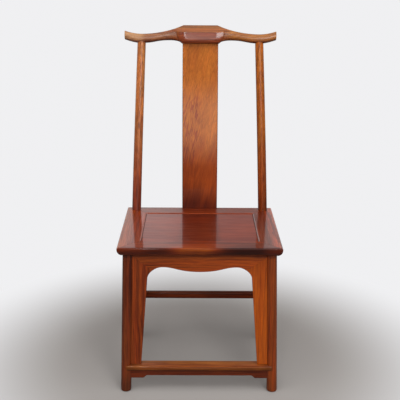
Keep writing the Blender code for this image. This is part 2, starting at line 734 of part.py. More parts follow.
def base_aprons(rails, legs, leg_spaces, bar_spaces):
    """The arched front apron, the plain side aprons and the short back apron."""
    faces = base_faces()
    arched = ApronForm(
        peak_height=ARCH_PEAK_HEIGHT,
        middle_height=ARCH_MIDDLE_HEIGHT,
        corner_height=ARCH_CORNER_HEIGHT,
        shoulder=ARCH_SHOULDER,
        top_width=ARCH_SIDE_TOP_WIDTH,
        bottom_width=ARCH_SIDE_BOTTOM_WIDTH,
    )
    plain = ApronForm(
        peak_height=SIDE_APRON_HEIGHT,
        middle_height=SIDE_APRON_HEIGHT,
        corner_height=SIDE_APRON_CORNER_HEIGHT,
        shoulder=SIDE_APRON_SHOULDER,
        top_width=SIDE_APRON_SIDE_WIDTH,
        bottom_width=SIDE_APRON_SIDE_WIDTH,
    )
    names = {"top": "front_apron", "left": "front_apron_side_left", "right": "front_apron_side_right"}
    bottom = (FRAME_BOTTOM - FOOTREST_TOP - FIT) / math.cos(SPLAY_FRONT)
    three_board_apron(names, faces["front"], rails["front"], legs, leg_spaces, arched, bottom)

    bottom = (FRAME_BOTTOM - SIDE_STRETCHER_Z) / math.cos(SPLAY_SIDE)
    for side in SIDES:
        face = faces[side]
        names = {"top": "side_apron_" + side}
        for place, (_, end) in face.legs.items():
            names[place] = "side_apron_" + end + "_" + side
        space = bar_spaces["side_stretcher_" + side]
        three_board_apron(names, face, rails[side], legs, leg_spaces, plain, bottom, space)

    back_apron(faces["back"], rails["back"], legs, leg_spaces)


# Stretchers

def bar_tenon(bar, leg, axis_point, direction, size):
    """A tenon from a bar's end into a leg, its mortise stopping inside the leg."""
    radius = leg_radius(axis_point.z)
    root = STRETCHER_TENON_DEPTH
    along = root + STRETCHER_TENON_DEPTH
    centre = axis_point - direction * (radius - STRETCHER_TENON_DEPTH + along / 2)
    across = Vector((0, 0, 1)).cross(direction)
    columns = Matrix((direction, across, Vector((0, 0, 1)))).transposed().to_4x4()
    tenon(bar, [leg], (along, *size), Matrix.Translation(centre) @ columns)


def oval_stretcher(name, ends, legs, leg_spaces):
    """An oval stretcher between two legs, scribed and tenoned to both, and the space for it."""
    (start_leg, start), (end_leg, end) = ends
    bar = part(name, oval_bar(start, end, STRETCHER_WIDTH, STRETCHER_HEIGHT), ROSEWOOD)
    direction = (end - start).normalized()
    size = (STRETCHER_TENON_WIDTH, STRETCHER_HEIGHT / 2)
    for leg, point, way in ((start_leg, start, -direction), (end_leg, end, direction)):
        cut(bar, leg_spaces[leg])
        bar_tenon(bar, legs[leg], point, way, size)
    grown = oval_bar(start, end, STRETCHER_WIDTH + 2 * FIT, STRETCHER_HEIGHT + 2 * FIT)
    return tool(name + "_space", grown)


def stretchers(legs, leg_spaces):
    spaces = {}
    for side in SIDES:
        name = "side_stretcher_" + side
        keys = [(side, "front"), (side, "rear")]
        ends = [(key, leg_centre(*key, SIDE_STRETCHER_Z)) for key in keys]
        spaces[name] = oval_stretcher(name, ends, legs, leg_spaces)
    keys = [("left", "rear"), ("right", "rear")]
    ends = [(key, leg_centre(*key, BACK_STRETCHER_Z)) for key in keys]
    spaces["back_stretcher"] = oval_stretcher("back_stretcher", ends, legs, leg_spaces)
    return spaces


def footrest(legs, leg_spaces):
    """The front stretcher and the board under it. The bar's shoulders wrap round the fronts of the legs."""
    middle = FOOTREST_TOP - FOOTREST_THICKNESS / 2
    axis = leg_centre("right", "front", middle)
    front = axis.y - leg_radius(middle) - FOOTREST_PROUD
    back = front + FOOTREST_DEPTH
    low = FOOTREST_TOP - FOOTREST_THICKNESS
    r = FOOTREST_ROUNDING
    corners = [
        ((front, FOOTREST_TOP - r), (front, FOOTREST_TOP), (front + r, FOOTREST_TOP)),
        ((back - r, FOOTREST_TOP), (back, FOOTREST_TOP), (back, FOOTREST_TOP - r)),
        ((back, low + r), (back, low), (back - r, low)),
        ((front + r, low), (front, low), (front, low + r)),
    ]
    outline = []
    for start, corner, end in corners:
        outline.append(start)
        handles = [(0.45 * p[0] + 0.55 * corner[0], 0.45 * p[1] + 0.55 * corner[1]) for p in (start, end)]
        outline += bezier(start, *handles, end, 3)
    sideways = Matrix(((0, 0, 1, 0), (1, 0, 0, 0), (0, 1, 0, 0), (0, 0, 0, 1)))
    bar = part("footrest", finished(plate(outline, 2 * axis.x), sideways), ROSEWOOD)

    span = axis.x - leg_radius(middle)
    inner = span - FOOTREST_APRON_END_LENGTH
    top = low - FIT
    shallow = low - FOOTREST_APRON_HEIGHT
    deep = low - FOOTREST_APRON_END_HEIGHT
    knee = inner + FOOTREST_APRON_END_LENGTH / 3
    half = (inner + knee) / 2
    curve = [(knee, deep), *bezier((knee, deep), (half, deep), (half, shallow), (inner, shallow), 6)]
    right = [(axis.x, deep), *curve]
    outline = right + [(-x, z) for x, z in right[::-1]] + [(-axis.x, top), (axis.x, top)]
    y = front + FOOTREST_APRON_SETBACK + FOOTREST_APRON_THICKNESS / 2
    upright = Matrix.Translation((0, y, 0)) @ Matrix.Rotation(math.radians(90), 4, "X")
    board = part("footrest_apron", finished(plate(outline, FOOTREST_APRON_THICKNESS), upright))

    size = (STRETCHER_TENON_WIDTH, FOOTREST_THICKNESS / 2)
    for side, sign in SIDES.items():
        key = (side, "front")
        for piece in (bar, board):
            cut(piece, leg_spaces[key])
        bar_tenon(bar, legs[key], leg_centre(*key, middle), Vector((sign, 0, 0)), size)
    tongue = (2 * inner, APRON_TONGUE_THICKNESS, 3 * APRON_TONGUE_DEPTH)
    tenon(board, [bar], tongue, Matrix.Translation((0, y, low - APRON_TONGUE_DEPTH / 2)))


# Back

def back_splat(rails, crest, crest_space):
    """The curved splat, from the back rail to the headrest, with a tongue at each end."""
    distance = crest_middle(0) - SPLAT_Y
    low = SEAT_HEIGHT + FIT
    high = CREST_LEVEL + HEADREST_BOTTOM + 2 * SPLAT_TONGUE_DEPTH
    count = 16
    levels = [low + (high - low) * i / (count - 1) for i in range(count)]
    half = SPLAT_THICKNESS / 2
    front = [(SPLAT_Y + lean(z, distance) - half, z) for z in levels]
    back = [(SPLAT_Y + lean(z, distance) + half, z) for z in levels]
    sideways = Matrix(((0, 0, 1, 0), (1, 0, 0, 0), (0, 1, 0, 0), (0, 0, 0, 1)))
    splat = part("back_splat", finished(plate(front + back[::-1], SPLAT_WIDTH), sideways), ROSEWOOD_LIGHT)
    cut(splat, crest_space)
    size = (SPLAT_WIDTH - 2 * SPLAT_TONGUE_SHOULDER, SPLAT_TONGUE_THICKNESS, 2 * SPLAT_TONGUE_DEPTH)
    tenon(splat, [rails["back"]], size, Matrix.Translation((0, SPLAT_Y, SEAT_HEIGHT)))
    joint = CREST_LEVEL + HEADREST_BOTTOM
    place = Matrix.Translation((0, SPLAT_Y + lean(joint, distance), joint))
    tilt = Matrix.Rotation(-math.atan(BACK_SLOPE_TOP), 4, "X")
    tenon(splat, [crest], size, place @ tilt)


def rear_leg(side, rails, crest, crest_space):
    """Leg and back post in one piece. The seat frame rests on its shoulder and lets the post through."""
    leg = part("rear_leg_" + side, leg_solid(side, "rear"))
    add(leg, tool("post_" + side, post_solid(side)))
    cut(leg, crest_space)
    hole = tool("post_space_" + side, post_solid(side, FIT))
    for rail in ("back", side):
        cut(rails[rail], hole)
    place = Vector((SIDES[side] * POST_TOP_X, POST_Y + lean(CREST_LEVEL, BACK_LEAN), CREST_LEVEL))
    size = (POST_TENON_WIDTH, POST_TENON_WIDTH, 2 * POST_TENON_HEIGHT)
    tilt = Matrix.Rotation(-math.atan(BACK_SLOPE_TOP), 4, "X")
    tenon(leg, [crest], size, Matrix.Translation(place) @ tilt)
    return leg


def front_leg(side, rails):
    """A front leg with a level shoulder under the frame and a tenon up into the mitred corner."""
    leg = part("front_leg_" + side, leg_solid(side, "front"))
    size = (LEG_TENON_WIDTH, LEG_TENON_WIDTH, 2 * LEG_TENON_HEIGHT)
    place = Matrix.Translation(leg_centre(side, "front", FRAME_BOTTOM))
    tenon(leg, [rails["front"], rails[side]], size, place)
    return leg


def stand_on_origin():
    """Moves the assembly so that the origin lies on the floor under the middle of the chair's box."""
    bpy.context.view_layer.update()
    graph = bpy.context.evaluated_depsgraph_get()
    depths = []
    for obj in PARTS.objects:
        if obj.type == "MESH":
            corners = obj.evaluated_get(graph).bound_box
            depths += [(obj.matrix_world @ Vector(corner)).y for corner in corners]
    ASSEMBLY.location.y = -(min(depths) + max(depths)) / 2


def build_chair():
    rails = seat_frame()
    seat_panel(rails)
    corner_tenons(rails)
    crest = crest_rail()
    crest_space = tool("crest_space", crest_solid(FIT))
    legs = {}
    leg_spaces = {}
    for side in SIDES:
        legs[side, "front"] = front_leg(side, rails)
        legs[side, "rear"] = rear_leg(side, rails, crest, crest_space)
        for end in ("front", "rear"):
            leg_spaces[side, end] = tool("leg_space_" + end + "_" + side, leg_solid(side, end, FIT))
    back_splat(rails, crest, crest_space)
    bar_spaces = stretchers(legs, leg_spaces)
    footrest(legs, leg_spaces)
    base_aprons(rails, legs, leg_spaces, bar_spaces)
    stand_on_origin()


build_chair()
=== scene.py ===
"""Looks of the lamp-hanger chair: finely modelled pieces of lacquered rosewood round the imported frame.

Metres, +Z up, and the chair faces -Y. Pieces are modelled round the middle of the seat, and then moved to
where the frame has it.
"""

import json
from collections import namedtuple
from math import copysign, cos, pi, radians, sin, sqrt, tan

import bmesh
import bpy
import numpy as np
from mathutils import Euler, Matrix, Vector
from mathutils.geometry import interpolate_bezier

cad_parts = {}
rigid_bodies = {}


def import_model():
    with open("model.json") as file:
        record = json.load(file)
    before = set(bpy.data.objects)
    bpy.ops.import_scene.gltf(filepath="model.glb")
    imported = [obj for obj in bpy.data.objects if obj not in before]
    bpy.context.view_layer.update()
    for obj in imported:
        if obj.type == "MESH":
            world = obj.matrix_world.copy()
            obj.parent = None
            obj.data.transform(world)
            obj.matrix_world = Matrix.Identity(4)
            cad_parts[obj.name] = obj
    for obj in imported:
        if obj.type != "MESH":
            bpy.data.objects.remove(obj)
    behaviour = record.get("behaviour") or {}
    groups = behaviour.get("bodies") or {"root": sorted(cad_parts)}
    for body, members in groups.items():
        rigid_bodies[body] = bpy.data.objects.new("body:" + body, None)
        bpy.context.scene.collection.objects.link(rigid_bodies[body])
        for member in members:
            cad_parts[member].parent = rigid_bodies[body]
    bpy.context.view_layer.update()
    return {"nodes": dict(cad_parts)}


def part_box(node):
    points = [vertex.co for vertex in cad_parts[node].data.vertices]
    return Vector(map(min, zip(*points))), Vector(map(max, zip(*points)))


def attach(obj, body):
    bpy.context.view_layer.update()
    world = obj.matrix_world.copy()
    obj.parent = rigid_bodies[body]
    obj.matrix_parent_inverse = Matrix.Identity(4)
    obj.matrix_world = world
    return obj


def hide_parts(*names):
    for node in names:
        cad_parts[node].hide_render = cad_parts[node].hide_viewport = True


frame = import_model()

# Fits
FIT = 0.0003
WELD = 0.00001
CUT_WELD = 0.000001

# Seat frame and its panel
SEAT_WIDTH = 0.500
SEAT_DEPTH = 0.412
SEAT_HEIGHT = 0.494
RAIL_WIDTH = 0.069
RAIL_THICKNESS = 0.027
EDGE_ARRIS = 0.0030
EDGE_ARRIS_WIDTH = 0.0060
EDGE_INSET = 0.0125
INNER_ARRIS = 0.0025
INNER_ARRIS_WIDTH = 0.0045
PANEL_SINK = 0.002
PANEL_THICKNESS = 0.012
PANEL_ARRIS = 0.0006
PANEL_GAP = 0.0012
MITRE_ARRIS = 0.0004

# Legs and back posts
LEG_TOP_RADIUS = 0.0160
FOOT_RADIUS = 0.0165
FOOT_ROUNDING = 0.0045
POST_SEAT_RADIUS = 0.0153
POST_TOP_RADIUS = 0.0139
POST_TENON_HEIGHT = 0.012
POST_HOLE_REACH = 0.01
LEG_INSET_SIDE = 0.031
LEG_INSET_FRONT = 0.035
POST_INSET = 0.026
SPLAY_SIDE = radians(1.8)
SPLAY_FRONT = radians(0.6)
SPLAY_BACK = radians(0.6)
POST_CONVERGENCE = radians(2.2)

# Back: its height is from the seat to the underside of the crest at the posts
BACK_HEIGHT = 0.561
BACK_LEAN = 0.070
BACK_SLOPE_SEAT = 0.02
BACK_SLOPE_TOP = 0.20
SPLAT_WIDTH = 0.120
SPLAT_THICKNESS = 0.011
SPLAT_INSET = 0.011
SPLAT_ROUNDING = 0.0025
SPLAT_TONGUE_DEPTH = 0.011

# Crest rail and its headrest, or head: heights are above the underside at the posts
CREST_OVERHANG = 0.056
CREST_THICKNESS = 0.0302
CREST_DEPTH = 0.029
CREST_FULLNESS = 2.1
CREST_BOW = 0.015
CREST_END_SWEEP = 0.004
CREST_END_RISE = 0.0109
CREST_END_THICKNESS = 0.029
CREST_END_ROUNDING = 0.0012
CREST_NECK_RISE = 0.0083
HEAD_HALF = 0.057
HEAD_TOP = 0.0572
HEAD_BOTTOM = -0.0021
HEAD_DEPTH = 0.032
HEAD_FULLNESS = 4.2
HEAD_SHOULDER = 0.048
HEAD_CORNER_FLARE = 0.0055
HEAD_FRONT_HALF = 0.080
HEAD_FRONT_PROUD = 0.0065
HEAD_CHEEK_LENGTH = 0.026
HEAD_CHEEK_SLOPE = 0.125
HEAD_CHEEK_SOFTNESS = 0.005
HEAD_CREASE_ROUNDING = 0.003
HEAD_LEAN = 0.13
HEAD_FRONT_CORNER = 0.027
HEAD_FRONT_CURVE = 0.7
HEAD_FRONT_MARGIN = 0.0015
HEAD_RIDGE_BACK = 0.0085
HEAD_RIDGE_DROP = 0.0011
HEAD_FACET_TILT = radians(33)
HEAD_FACET_SOFTNESS = 0.0007

# Aprons: heights are below the seat frame, and widths are from the surface of the leg
APRON_THICKNESS = 0.012
APRON_ARRIS = 0.0018
APRON_TONGUE_DEPTH = 0.004
BACK_APRON_HEIGHT = 0.042
Apron = namedtuple("Apron", "peak_height middle_height corner_height shoulder top_width bottom_width")
FRONT_APRON = Apron(0.0453, 0.0606, 0.082, 0.047, 0.0447, 0.0307)
SIDE_APRON = Apron(0.042, 0.042, 0.072, 0.030, 0.024, 0.024)

# Stretchers: each side one stands a step above the footrest, and the back one a step above those
FOOTREST_TOP = 0.093
FOOTREST_DEPTH = 0.040
FOOTREST_THICKNESS = 0.017
FOOTREST_PROUD = 0.002
FOOTREST_ROUNDING = 0.005
FOOTREST_WEAR = 0.0030
FOOTREST_END_TAPER = 0.0012
FOOTREST_END_LENGTH = 0.006
LOW_APRON_SETBACK = 0.010
LOW_APRON_THICKNESS = 0.010
LOW_APRON_HEIGHT = 0.021
LOW_APRON_END_HEIGHT = 0.030
LOW_APRON_END_LENGTH = 0.051
LOW_APRON_ARRIS = 0.0012
STRETCHER_STEP = 0.040
STRETCHER_WIDTH = 0.020
STRETCHER_HEIGHT = 0.026
STRETCHER_FULLNESS = 3.2

# Handles of the curves, as shares of their stretches, across and up
EVEN_HANDLES = ((0.5, 0.0), (0.5, 1.0))
RIDGE_HANDLES = ((0.22, 0.48), (0.57, 1.0))
END_TOP_HANDLES = ((0.36, 0.0), (0.74, 0.44))
END_BOTTOM_HANDLES = ((0.44, 0.0), (0.74, 0.63))
INNER_ARRIS_HANDLES = ((0.0, 0.55), (0.55, 1.0))
EDGE_ARRIS_HANDLES = ((0.55, 0.0), (1.0, 0.45))
BELLY_HANDLES = ((0.0, 0.42), (0.32, 0.80))
ARCH_WAVE_HANDLES = ((0.34, 0.0), (0.43, 1.0))
ARCH_CORNER_HANDLES = (0.46, 0.49)
LOWER_CORNER_HANDLE = (0.09, 0.72)
NECK_HANDLE = 0.42

# Fineness of the meshes
ROUND_SIDES = 64
OVAL_SIDES = 48
CREST_SIDES = 112
LEG_RINGS = 24
POST_RINGS = 64
POST_HOLE_RINGS = 6
SPLAT_RINGS = 72
HEAD_RINGS = 58
SHOULDER_RINGS = 14
ARM_RINGS = 130
CURVE_STEPS = 28
CREST_CURVE_STEPS = 150
INNER_ARRIS_STEPS = 6
EDGE_ARRIS_STEPS = 12
BELLY_STEPS = 20
CORNER_STEPS = 6
ROUNDING_STEPS = 8
END_STEPS = 5
ARRIS_STEPS = 3
CREASE_ROUNDS = 12
SHARP_ANGLE = radians(38)

# Levels and places that follow from the sizes above
FRAME_BOTTOM = SEAT_HEIGHT - RAIL_THICKNESS
CREST_LEVEL = SEAT_HEIGHT + BACK_HEIGHT
FRONT_LEG_Y = -SEAT_DEPTH / 2 + LEG_INSET_FRONT
POST_Y = SEAT_DEPTH / 2 - POST_INSET
SPLAT_Y = SEAT_DEPTH / 2 - SPLAT_INSET
LEG_X = SEAT_WIDTH / 2 - LEG_INSET_SIDE
POST_TOP_X = LEG_X - (CREST_LEVEL - FRAME_BOTTOM) * tan(POST_CONVERGENCE)
CREST_HALF = POST_TOP_X + CREST_OVERHANG
SIDE_STRETCHER_Z = FOOTREST_TOP + STRETCHER_STEP
BACK_STRETCHER_Z = SIDE_STRETCHER_Z + STRETCHER_STEP
PANEL_TOP = SEAT_HEIGHT - PANEL_SINK
SIDES = {"left": -1, "right": 1}
UP = Vector((0, 0, 1))
SEAT_FRONT_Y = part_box("seat_rail_front")[0].y
SEAT_Y = SEAT_FRONT_Y + SEAT_DEPTH / 2


# Rosewood: middle tones as linear colours

SPLAT_TONE = (0.412, 0.103, 0.008)
LEFT_POST_TONE = (0.480, 0.158, 0.034)
RIGHT_POST_TONE = (0.380, 0.100, 0.011)
CREST_TONE = (0.262, 0.067, 0.012)
PANEL_TONE = (0.122, 0.012, 0.001)
RAIL_TONE = (0.222, 0.028, 0.002)
DARK_RAIL_TONE = (0.140, 0.018, 0.002)
APRON_TONE = (0.240, 0.040, 0.003)
STRIP_TONE = (0.215, 0.034, 0.003)
BRIGHT_TONE = (0.320, 0.055, 0.002)
LEG_TONE = (0.180, 0.029, 0.003)
DARK_TONE = (0.125, 0.020, 0.003)
FOOTREST_TONE = (0.250, 0.068, 0.011)

# Tints, which multiply a tone
LIGHTER = (1.45, 1.65, 1.80)
DARKER = (0.36, 0.27, 0.40)
DEEP_RED = (0.55, 0.22, 0.32)
MAROON = (0.90, 0.35, 0.60)
RED_STREAK = (1.14, 0.80, 0.80)
# Painted shade near the seat, partly darker wood: the lowest stretch of the splat and the back posts
DARK_WOOD_AND_SHADE = (0.25, 0.12, 0.30)
UMBER = (0.30, 0.24, 0.30)
DUST = (0.50, 0.75, 1.25)
SAPWOOD = (1.70, 2.20, 2.00)
PALE_SAPWOOD = (1.66, 2.30, 2.60)
AMBER = (1.42, 1.90, 1.60)
# A painted sheen, lighter and bluer, standing for gloss on the crest's left arm
PAINTED_SHEEN = (1.35, 2.00, 4.50)
HONEY = (1.40, 2.20, 2.00)
PALE_HONEY = (2.60, 3.20, 6.00)

# Stains and painted light: real stains and dust, and painted shade and a painted sheen. Each is full at
# the start of its stretches and gone at their ends, in world places
Stretch = namedtuple("Stretch", "axis start end mirrored", defaults=(False,))
StainAndLight = namedtuple("StainAndLight", "strength tint stretches dashed")
X, Y, Z = range(3)
MIRRORED = True


def stain(strength, tint, *stretches, dashed=False):
    return StainAndLight(strength, tint, [Stretch(*stretch) for stretch in stretches], dashed)


SPLAT_STAINS_AND_SHADE = (
    # Painted shade, partly the wood's own tone: the splat turns darker and redder towards the seat
    stain(0.77, DEEP_RED, (Z, 0.620, 0.790)),
    # Painted shade where the splat meets the seat, partly darker wood
    stain(0.88, DARK_WOOD_AND_SHADE, (Z, 0.500, 0.600)),
    stain(0.70, DEEP_RED, (Z, 0.700, 0.620), (Z, 0.860, 0.930), (X, -0.008, 0.020), dashed=True),
    # Painted shade along the splat's side edges
    stain(0.80, UMBER, (X, 0.0598, 0.0565, MIRRORED)),
)
# Painted shade, partly the wood's own tone: the back posts turn darker and redder towards the seat and
# stay so down the rear legs, darkest near the seat
LEFT_POST_SHADE_AND_TONE = (stain(0.85, DEEP_RED, (Z, 0.560, 0.880)), stain(0.60, DARK_WOOD_AND_SHADE, (Z, 0.500, 0.640)))
RIGHT_POST_SHADE_AND_TONE = (stain(0.48, DEEP_RED, (Z, 0.560, 0.820)), stain(0.48, DARK_WOOD_AND_SHADE, (Z, 0.500, 0.600)))
CREST_STAINS_AND_LIGHT = (
    stain(1.00, PALE_SAPWOOD, (X, -0.210, -0.180)),
    # A painted sheen on the left arm, out from the headrest
    stain(0.55, PAINTED_SHEEN, (X, -0.110, -0.080)),
    stain(0.95, SAPWOOD, (X, 0.110, 0.080)),
    stain(0.55, AMBER, (Z, 1.104, 1.091)),
    stain(0.55, MAROON, (Z, 1.087, 1.095), (X, 0.062, 0.084, MIRRORED)),
    # Painted shade on the lower part of the arms, out from the headrest
    stain(0.65, DEEP_RED, (Z, 1.057, 1.071), (X, 0.095, 0.080, MIRRORED)),
)
EDGE = (Y, SEAT_FRONT_Y + 0.003, SEAT_FRONT_Y + 0.012)
FRONT_RAIL_STAINS = (
    stain(0.60, UMBER, (X, -0.120, -0.060), EDGE),
    stain(0.50, UMBER, (X, -0.110, -0.060), (X, -0.140, -0.180), EDGE),
    stain(0.92, UMBER, (X, 0.090, 0.030), (X, 0.175, 0.230), EDGE),
    stain(0.75, UMBER, (X, 0.130, 0.050), (Y, SEAT_FRONT_Y + 0.005, SEAT_FRONT_Y + 0.060)),
    stain(0.70, HONEY, (X, -0.050, -0.085), (X, 0.015, 0.055), EDGE),
)
OUTER_EDGE = (X, 0.236, 0.212, MIRRORED)
SIDE_RAIL_STAINS = {
    "left": [stain(0.80, HONEY, OUTER_EDGE)],
    "right": [stain(1.00, PALE_HONEY, OUTER_EDGE)],
}
# A painted shadow just under the seat frame, on the tops of the front legs and the front apron
UNDER_SEAT_SHADOW = stain(0.55, UMBER, (Z, FRAME_BOTTOM - 0.008, FRAME_BOTTOM - 0.015))
FOOT = (Z, 0.020, 0.080)
FOOT_STAINS = {"left": stain(0.60, DUST, FOOT), "right": stain(0.40, DUST, FOOT)}
# Painted shade on the lower part of the footrest; its ends are darker where they meet the legs
FOOTREST_SHADE_AND_STAINS = (stain(0.40, UMBER, (Z, 0.083, 0.091)), stain(0.45, UMBER, (X, 0.215, 0.185, MIRRORED)))
PATCH_WANDER = 0.4
PATCH_FRAY = 0.8

# Noises of the wood: scales to the metre
Noise = namedtuple("Noise", "along across detail roughness", defaults=(1.0, 0.5))
WANDER = Noise(2.4, 12.0, 4.0, 0.58)
MOTTLE = Noise(3.0, 16.0, 3.0, 0.55)
THREADS = Noise(2.4, 80.0)
DASHES = Noise(4.5, 250.0)
STREAKS = Noise(9.0, 230.0)
FIBRES = Noise(16.0, 380.0, 2.0)
PORES = Noise(55.0, 1300.0)
WAVES = Noise(17.0, 17.0)
NOISE_MEAN = 0.5
WANDER_REACH = (0, 0.026, 0.026)

# Growth rings to the metre, and their detail
BAND_RINGS = (75, 2.0)
LINE_RINGS = (330, 3.0)
RING_ROUGHNESS = 0.6

# Marks: the values at which a mark begins and is full, and how much of the wood it then covers
Mark = namedtuple("Mark", "begins full share", defaults=(1.0,))
DARK_BANDS = Mark(0.52, 0.28, 0.32)
LIGHT_BANDS = Mark(0.58, 0.74, 0.30)
DARK_LINES = Mark(0.47, 0.30, 0.60)
RED_THREADS = Mark(0.42, 0.62, 0.35)
HAIRS = Mark(0.050, 0.012, 0.20)
DARK_STREAKS = Mark(0.43, 0.31, 0.55)
DARK_FIBRES = Mark(0.60, 0.30, 0.50)
LIGHT_FIBRES = Mark(0.54, 0.74, 0.45)
DARK_PORES = Mark(0.40, 0.27, 0.45)
SHORT_DASHES = Mark(0.50, 0.41)
# Painted shade on faces that look down
UNDERSIDE_SHADE = Mark(-0.25, -0.80, 0.75)
LIGHT_MOTTLE = (0.36, 0.68)
DENSE_MOTTLE = (0.62, 0.40)
LEAST_DENSE = 0.25
CALM_EVENNESS = 0.3
LEAST_FIBRES = 0.3
FIBRE_SPAN = (0.3, 0.7)
FIBRE_ROUGHNESS = (0.48, 0.34)
PORE_DEPTH = 0.00012
WAVE_DEPTH = 0.00004
SHEEN = 0.10

# Coats of lacquer, and how far the pores show in them
Coat = namedtuple("Coat", "weight roughness ior pores", defaults=(0.5,))
LACQUER = Coat(1.0, 0.07, 1.45)
PANEL_COAT = Coat(1.0, 0.07, 1.45, 0.05)
LEFT_POST_COAT = Coat(1.0, 0.38, 1.45)
RIGHT_POST_COAT = Coat(0.45, 0.34, 1.45)
CREST_COAT = Coat(1.0, 0.20, 1.55)
FOOT_WORN = Coat(0.35, 0.12, 1.45)
HEAD_ROUGHNESS = 0.19
CREST_ARM_ROUGHNESS = 0.32
CREST_WORN_REACH = 0.092

# Cuts: the pith's place across the board, the run away from it, the slant, and how plain the figure is
Cut = namedtuple("Cut", "pith tilt slant figure")
PLAIN_CUT = Cut((0.03, 0.04), 0.02, 0.0, 1.5)
CALM_CUT = Cut((0.03, 0.04), 0.02, 0.0, 0.7)
PANEL_CUT = Cut((0.02, 0.05), 0.04, 0.0, 0.75)
SPLAT_CUT = Cut((-0.042, 0.004), 0.0, radians(-10), 0.40)
GRAIN_TURN = {"X": (0, 0, 0), "Y": (0, 0, radians(-90)), "Z": (0, radians(90), 0)}


class Shading:
    """A node tree, with short calls for the finishes' nodes."""

    def __init__(self, tree):
        self.tree = tree

    def add(self, kind, inputs, **settings):
        """A new node with its inputs, each a value or a socket that feeds it."""
        node = self.tree.nodes.new(kind)
        for key, value in settings.items():
            setattr(node, key, value)
        for key, value in inputs.items():
            self.feed(node.inputs[key], value)
        return node

    def feed(self, socket, value):
        if isinstance(value, bpy.types.NodeSocket):
            self.tree.links.new(value, socket)
        else:
            socket.default_value = value

    def math(self, operation, first, second=0.0):
        return self.add("ShaderNodeMath", {0: first, 1: second}, operation=operation).outputs[0]

    def product(self, first, *others):
        for other in others:
            first = self.math("MULTIPLY", first, other)
        return first

    def vector(self, operation, first, second):
        return self.add("ShaderNodeVectorMath", {0: first, 1: second}, operation=operation).outputs[0]

    def length(self, place):
        return self.add("ShaderNodeVectorMath", {0: place}, operation="LENGTH").outputs["Value"]

    def parts(self, place):
        return self.add("ShaderNodeSeparateXYZ", {0: place}).outputs

    def place(self, kind="Object"):
        return self.add("ShaderNodeTexCoord", {}).outputs[kind]

    def ease(self, value, low, high, start=0.0, end=1.0):
        """A value eased from start, at low, to end, at high."""
        inputs = {"Value": value, "From Min": low, "From Max": high, "To Min": start, "To Max": end}
        return self.add("ShaderNodeMapRange", inputs, interpolation_type="SMOOTHSTEP").outputs[0]

    def mark(self, value, mark, plainness=1.0):
        """How much a mark covers at a value."""
        return self.ease(value, mark.begins, mark.full, 0.0, mark.share * plainness)

    def noise(self, place, noise, seed, output="Fac"):
        scale = (noise.along, noise.across, noise.across)
        inputs = {"Vector": self.vector("MULTIPLY", place, scale), "W": seed, "Scale": 1.0}
        inputs |= {"Detail": noise.detail, "Roughness": noise.roughness}
        return self.add("ShaderNodeTexNoise", inputs, noise_dimensions="4D").outputs[output]

    def rings(self, radius, count, detail, seed):
        """Uneven growth rings, so many to the metre."""
        turns = self.add("ShaderNodeMath", {0: radius, 1: count, 2: seed}, operation="MULTIPLY_ADD")
        inputs = {"W": turns.outputs[0], "Scale": 1.0, "Detail": detail, "Roughness": RING_ROUGHNESS}
        return self.add("ShaderNodeTexNoise", inputs, noise_dimensions="1D").outputs["Fac"]

    def pick(self, choice, yes, no):
        """One of two values, by a choice that is 1 or 0."""
        return self.ease(choice, 0.0, 1.0, no, yes)

    def mix(self, factor, first, second, blend="MIX"):
        node = self.add("ShaderNodeMix", {0: factor}, data_type="RGBA", blend_type=blend)
        for socket, value in ((node.inputs[6], first), (node.inputs[7], second)):
            self.feed(socket, value if isinstance(value, bpy.types.NodeSocket) else (*value, 1.0))
        return node.outputs[2]

    def bump(self, height, strength, distance):
        inputs = {"Strength": strength, "Distance": distance, "Height": height}
        return self.add("ShaderNodeBump", inputs).outputs[0]


def new_material(name):
    """A material, its shader and its node tree."""
    material = bpy.data.materials.new(name)
    material.use_nodes = True
    return material, material.node_tree.nodes["Principled BSDF"], Shading(material.node_tree)


def tinted(tone, tint):
    return [part * factor for part, factor in zip(tone, tint)]


def stained_and_lit(s, colour, patch, places, drift, dashes):
    """A colour with one patch over it, a stain or painted light, whose edges drift with the wood."""
    share = s.product(dashes, patch.strength) if patch.dashed else patch.strength
    for stretch in patch.stretches:
        spot = places[stretch.axis]
        if stretch.mirrored:
            spot = s.math("ABSOLUTE", spot)
        spot = s.math("ADD", spot, s.product(drift, stretch.end - stretch.start))
        share = s.product(s.ease(spot, stretch.start, stretch.end, 1.0, 0.0), share)
    return s.mix(share, colour, patch.tint, "MULTIPLY")


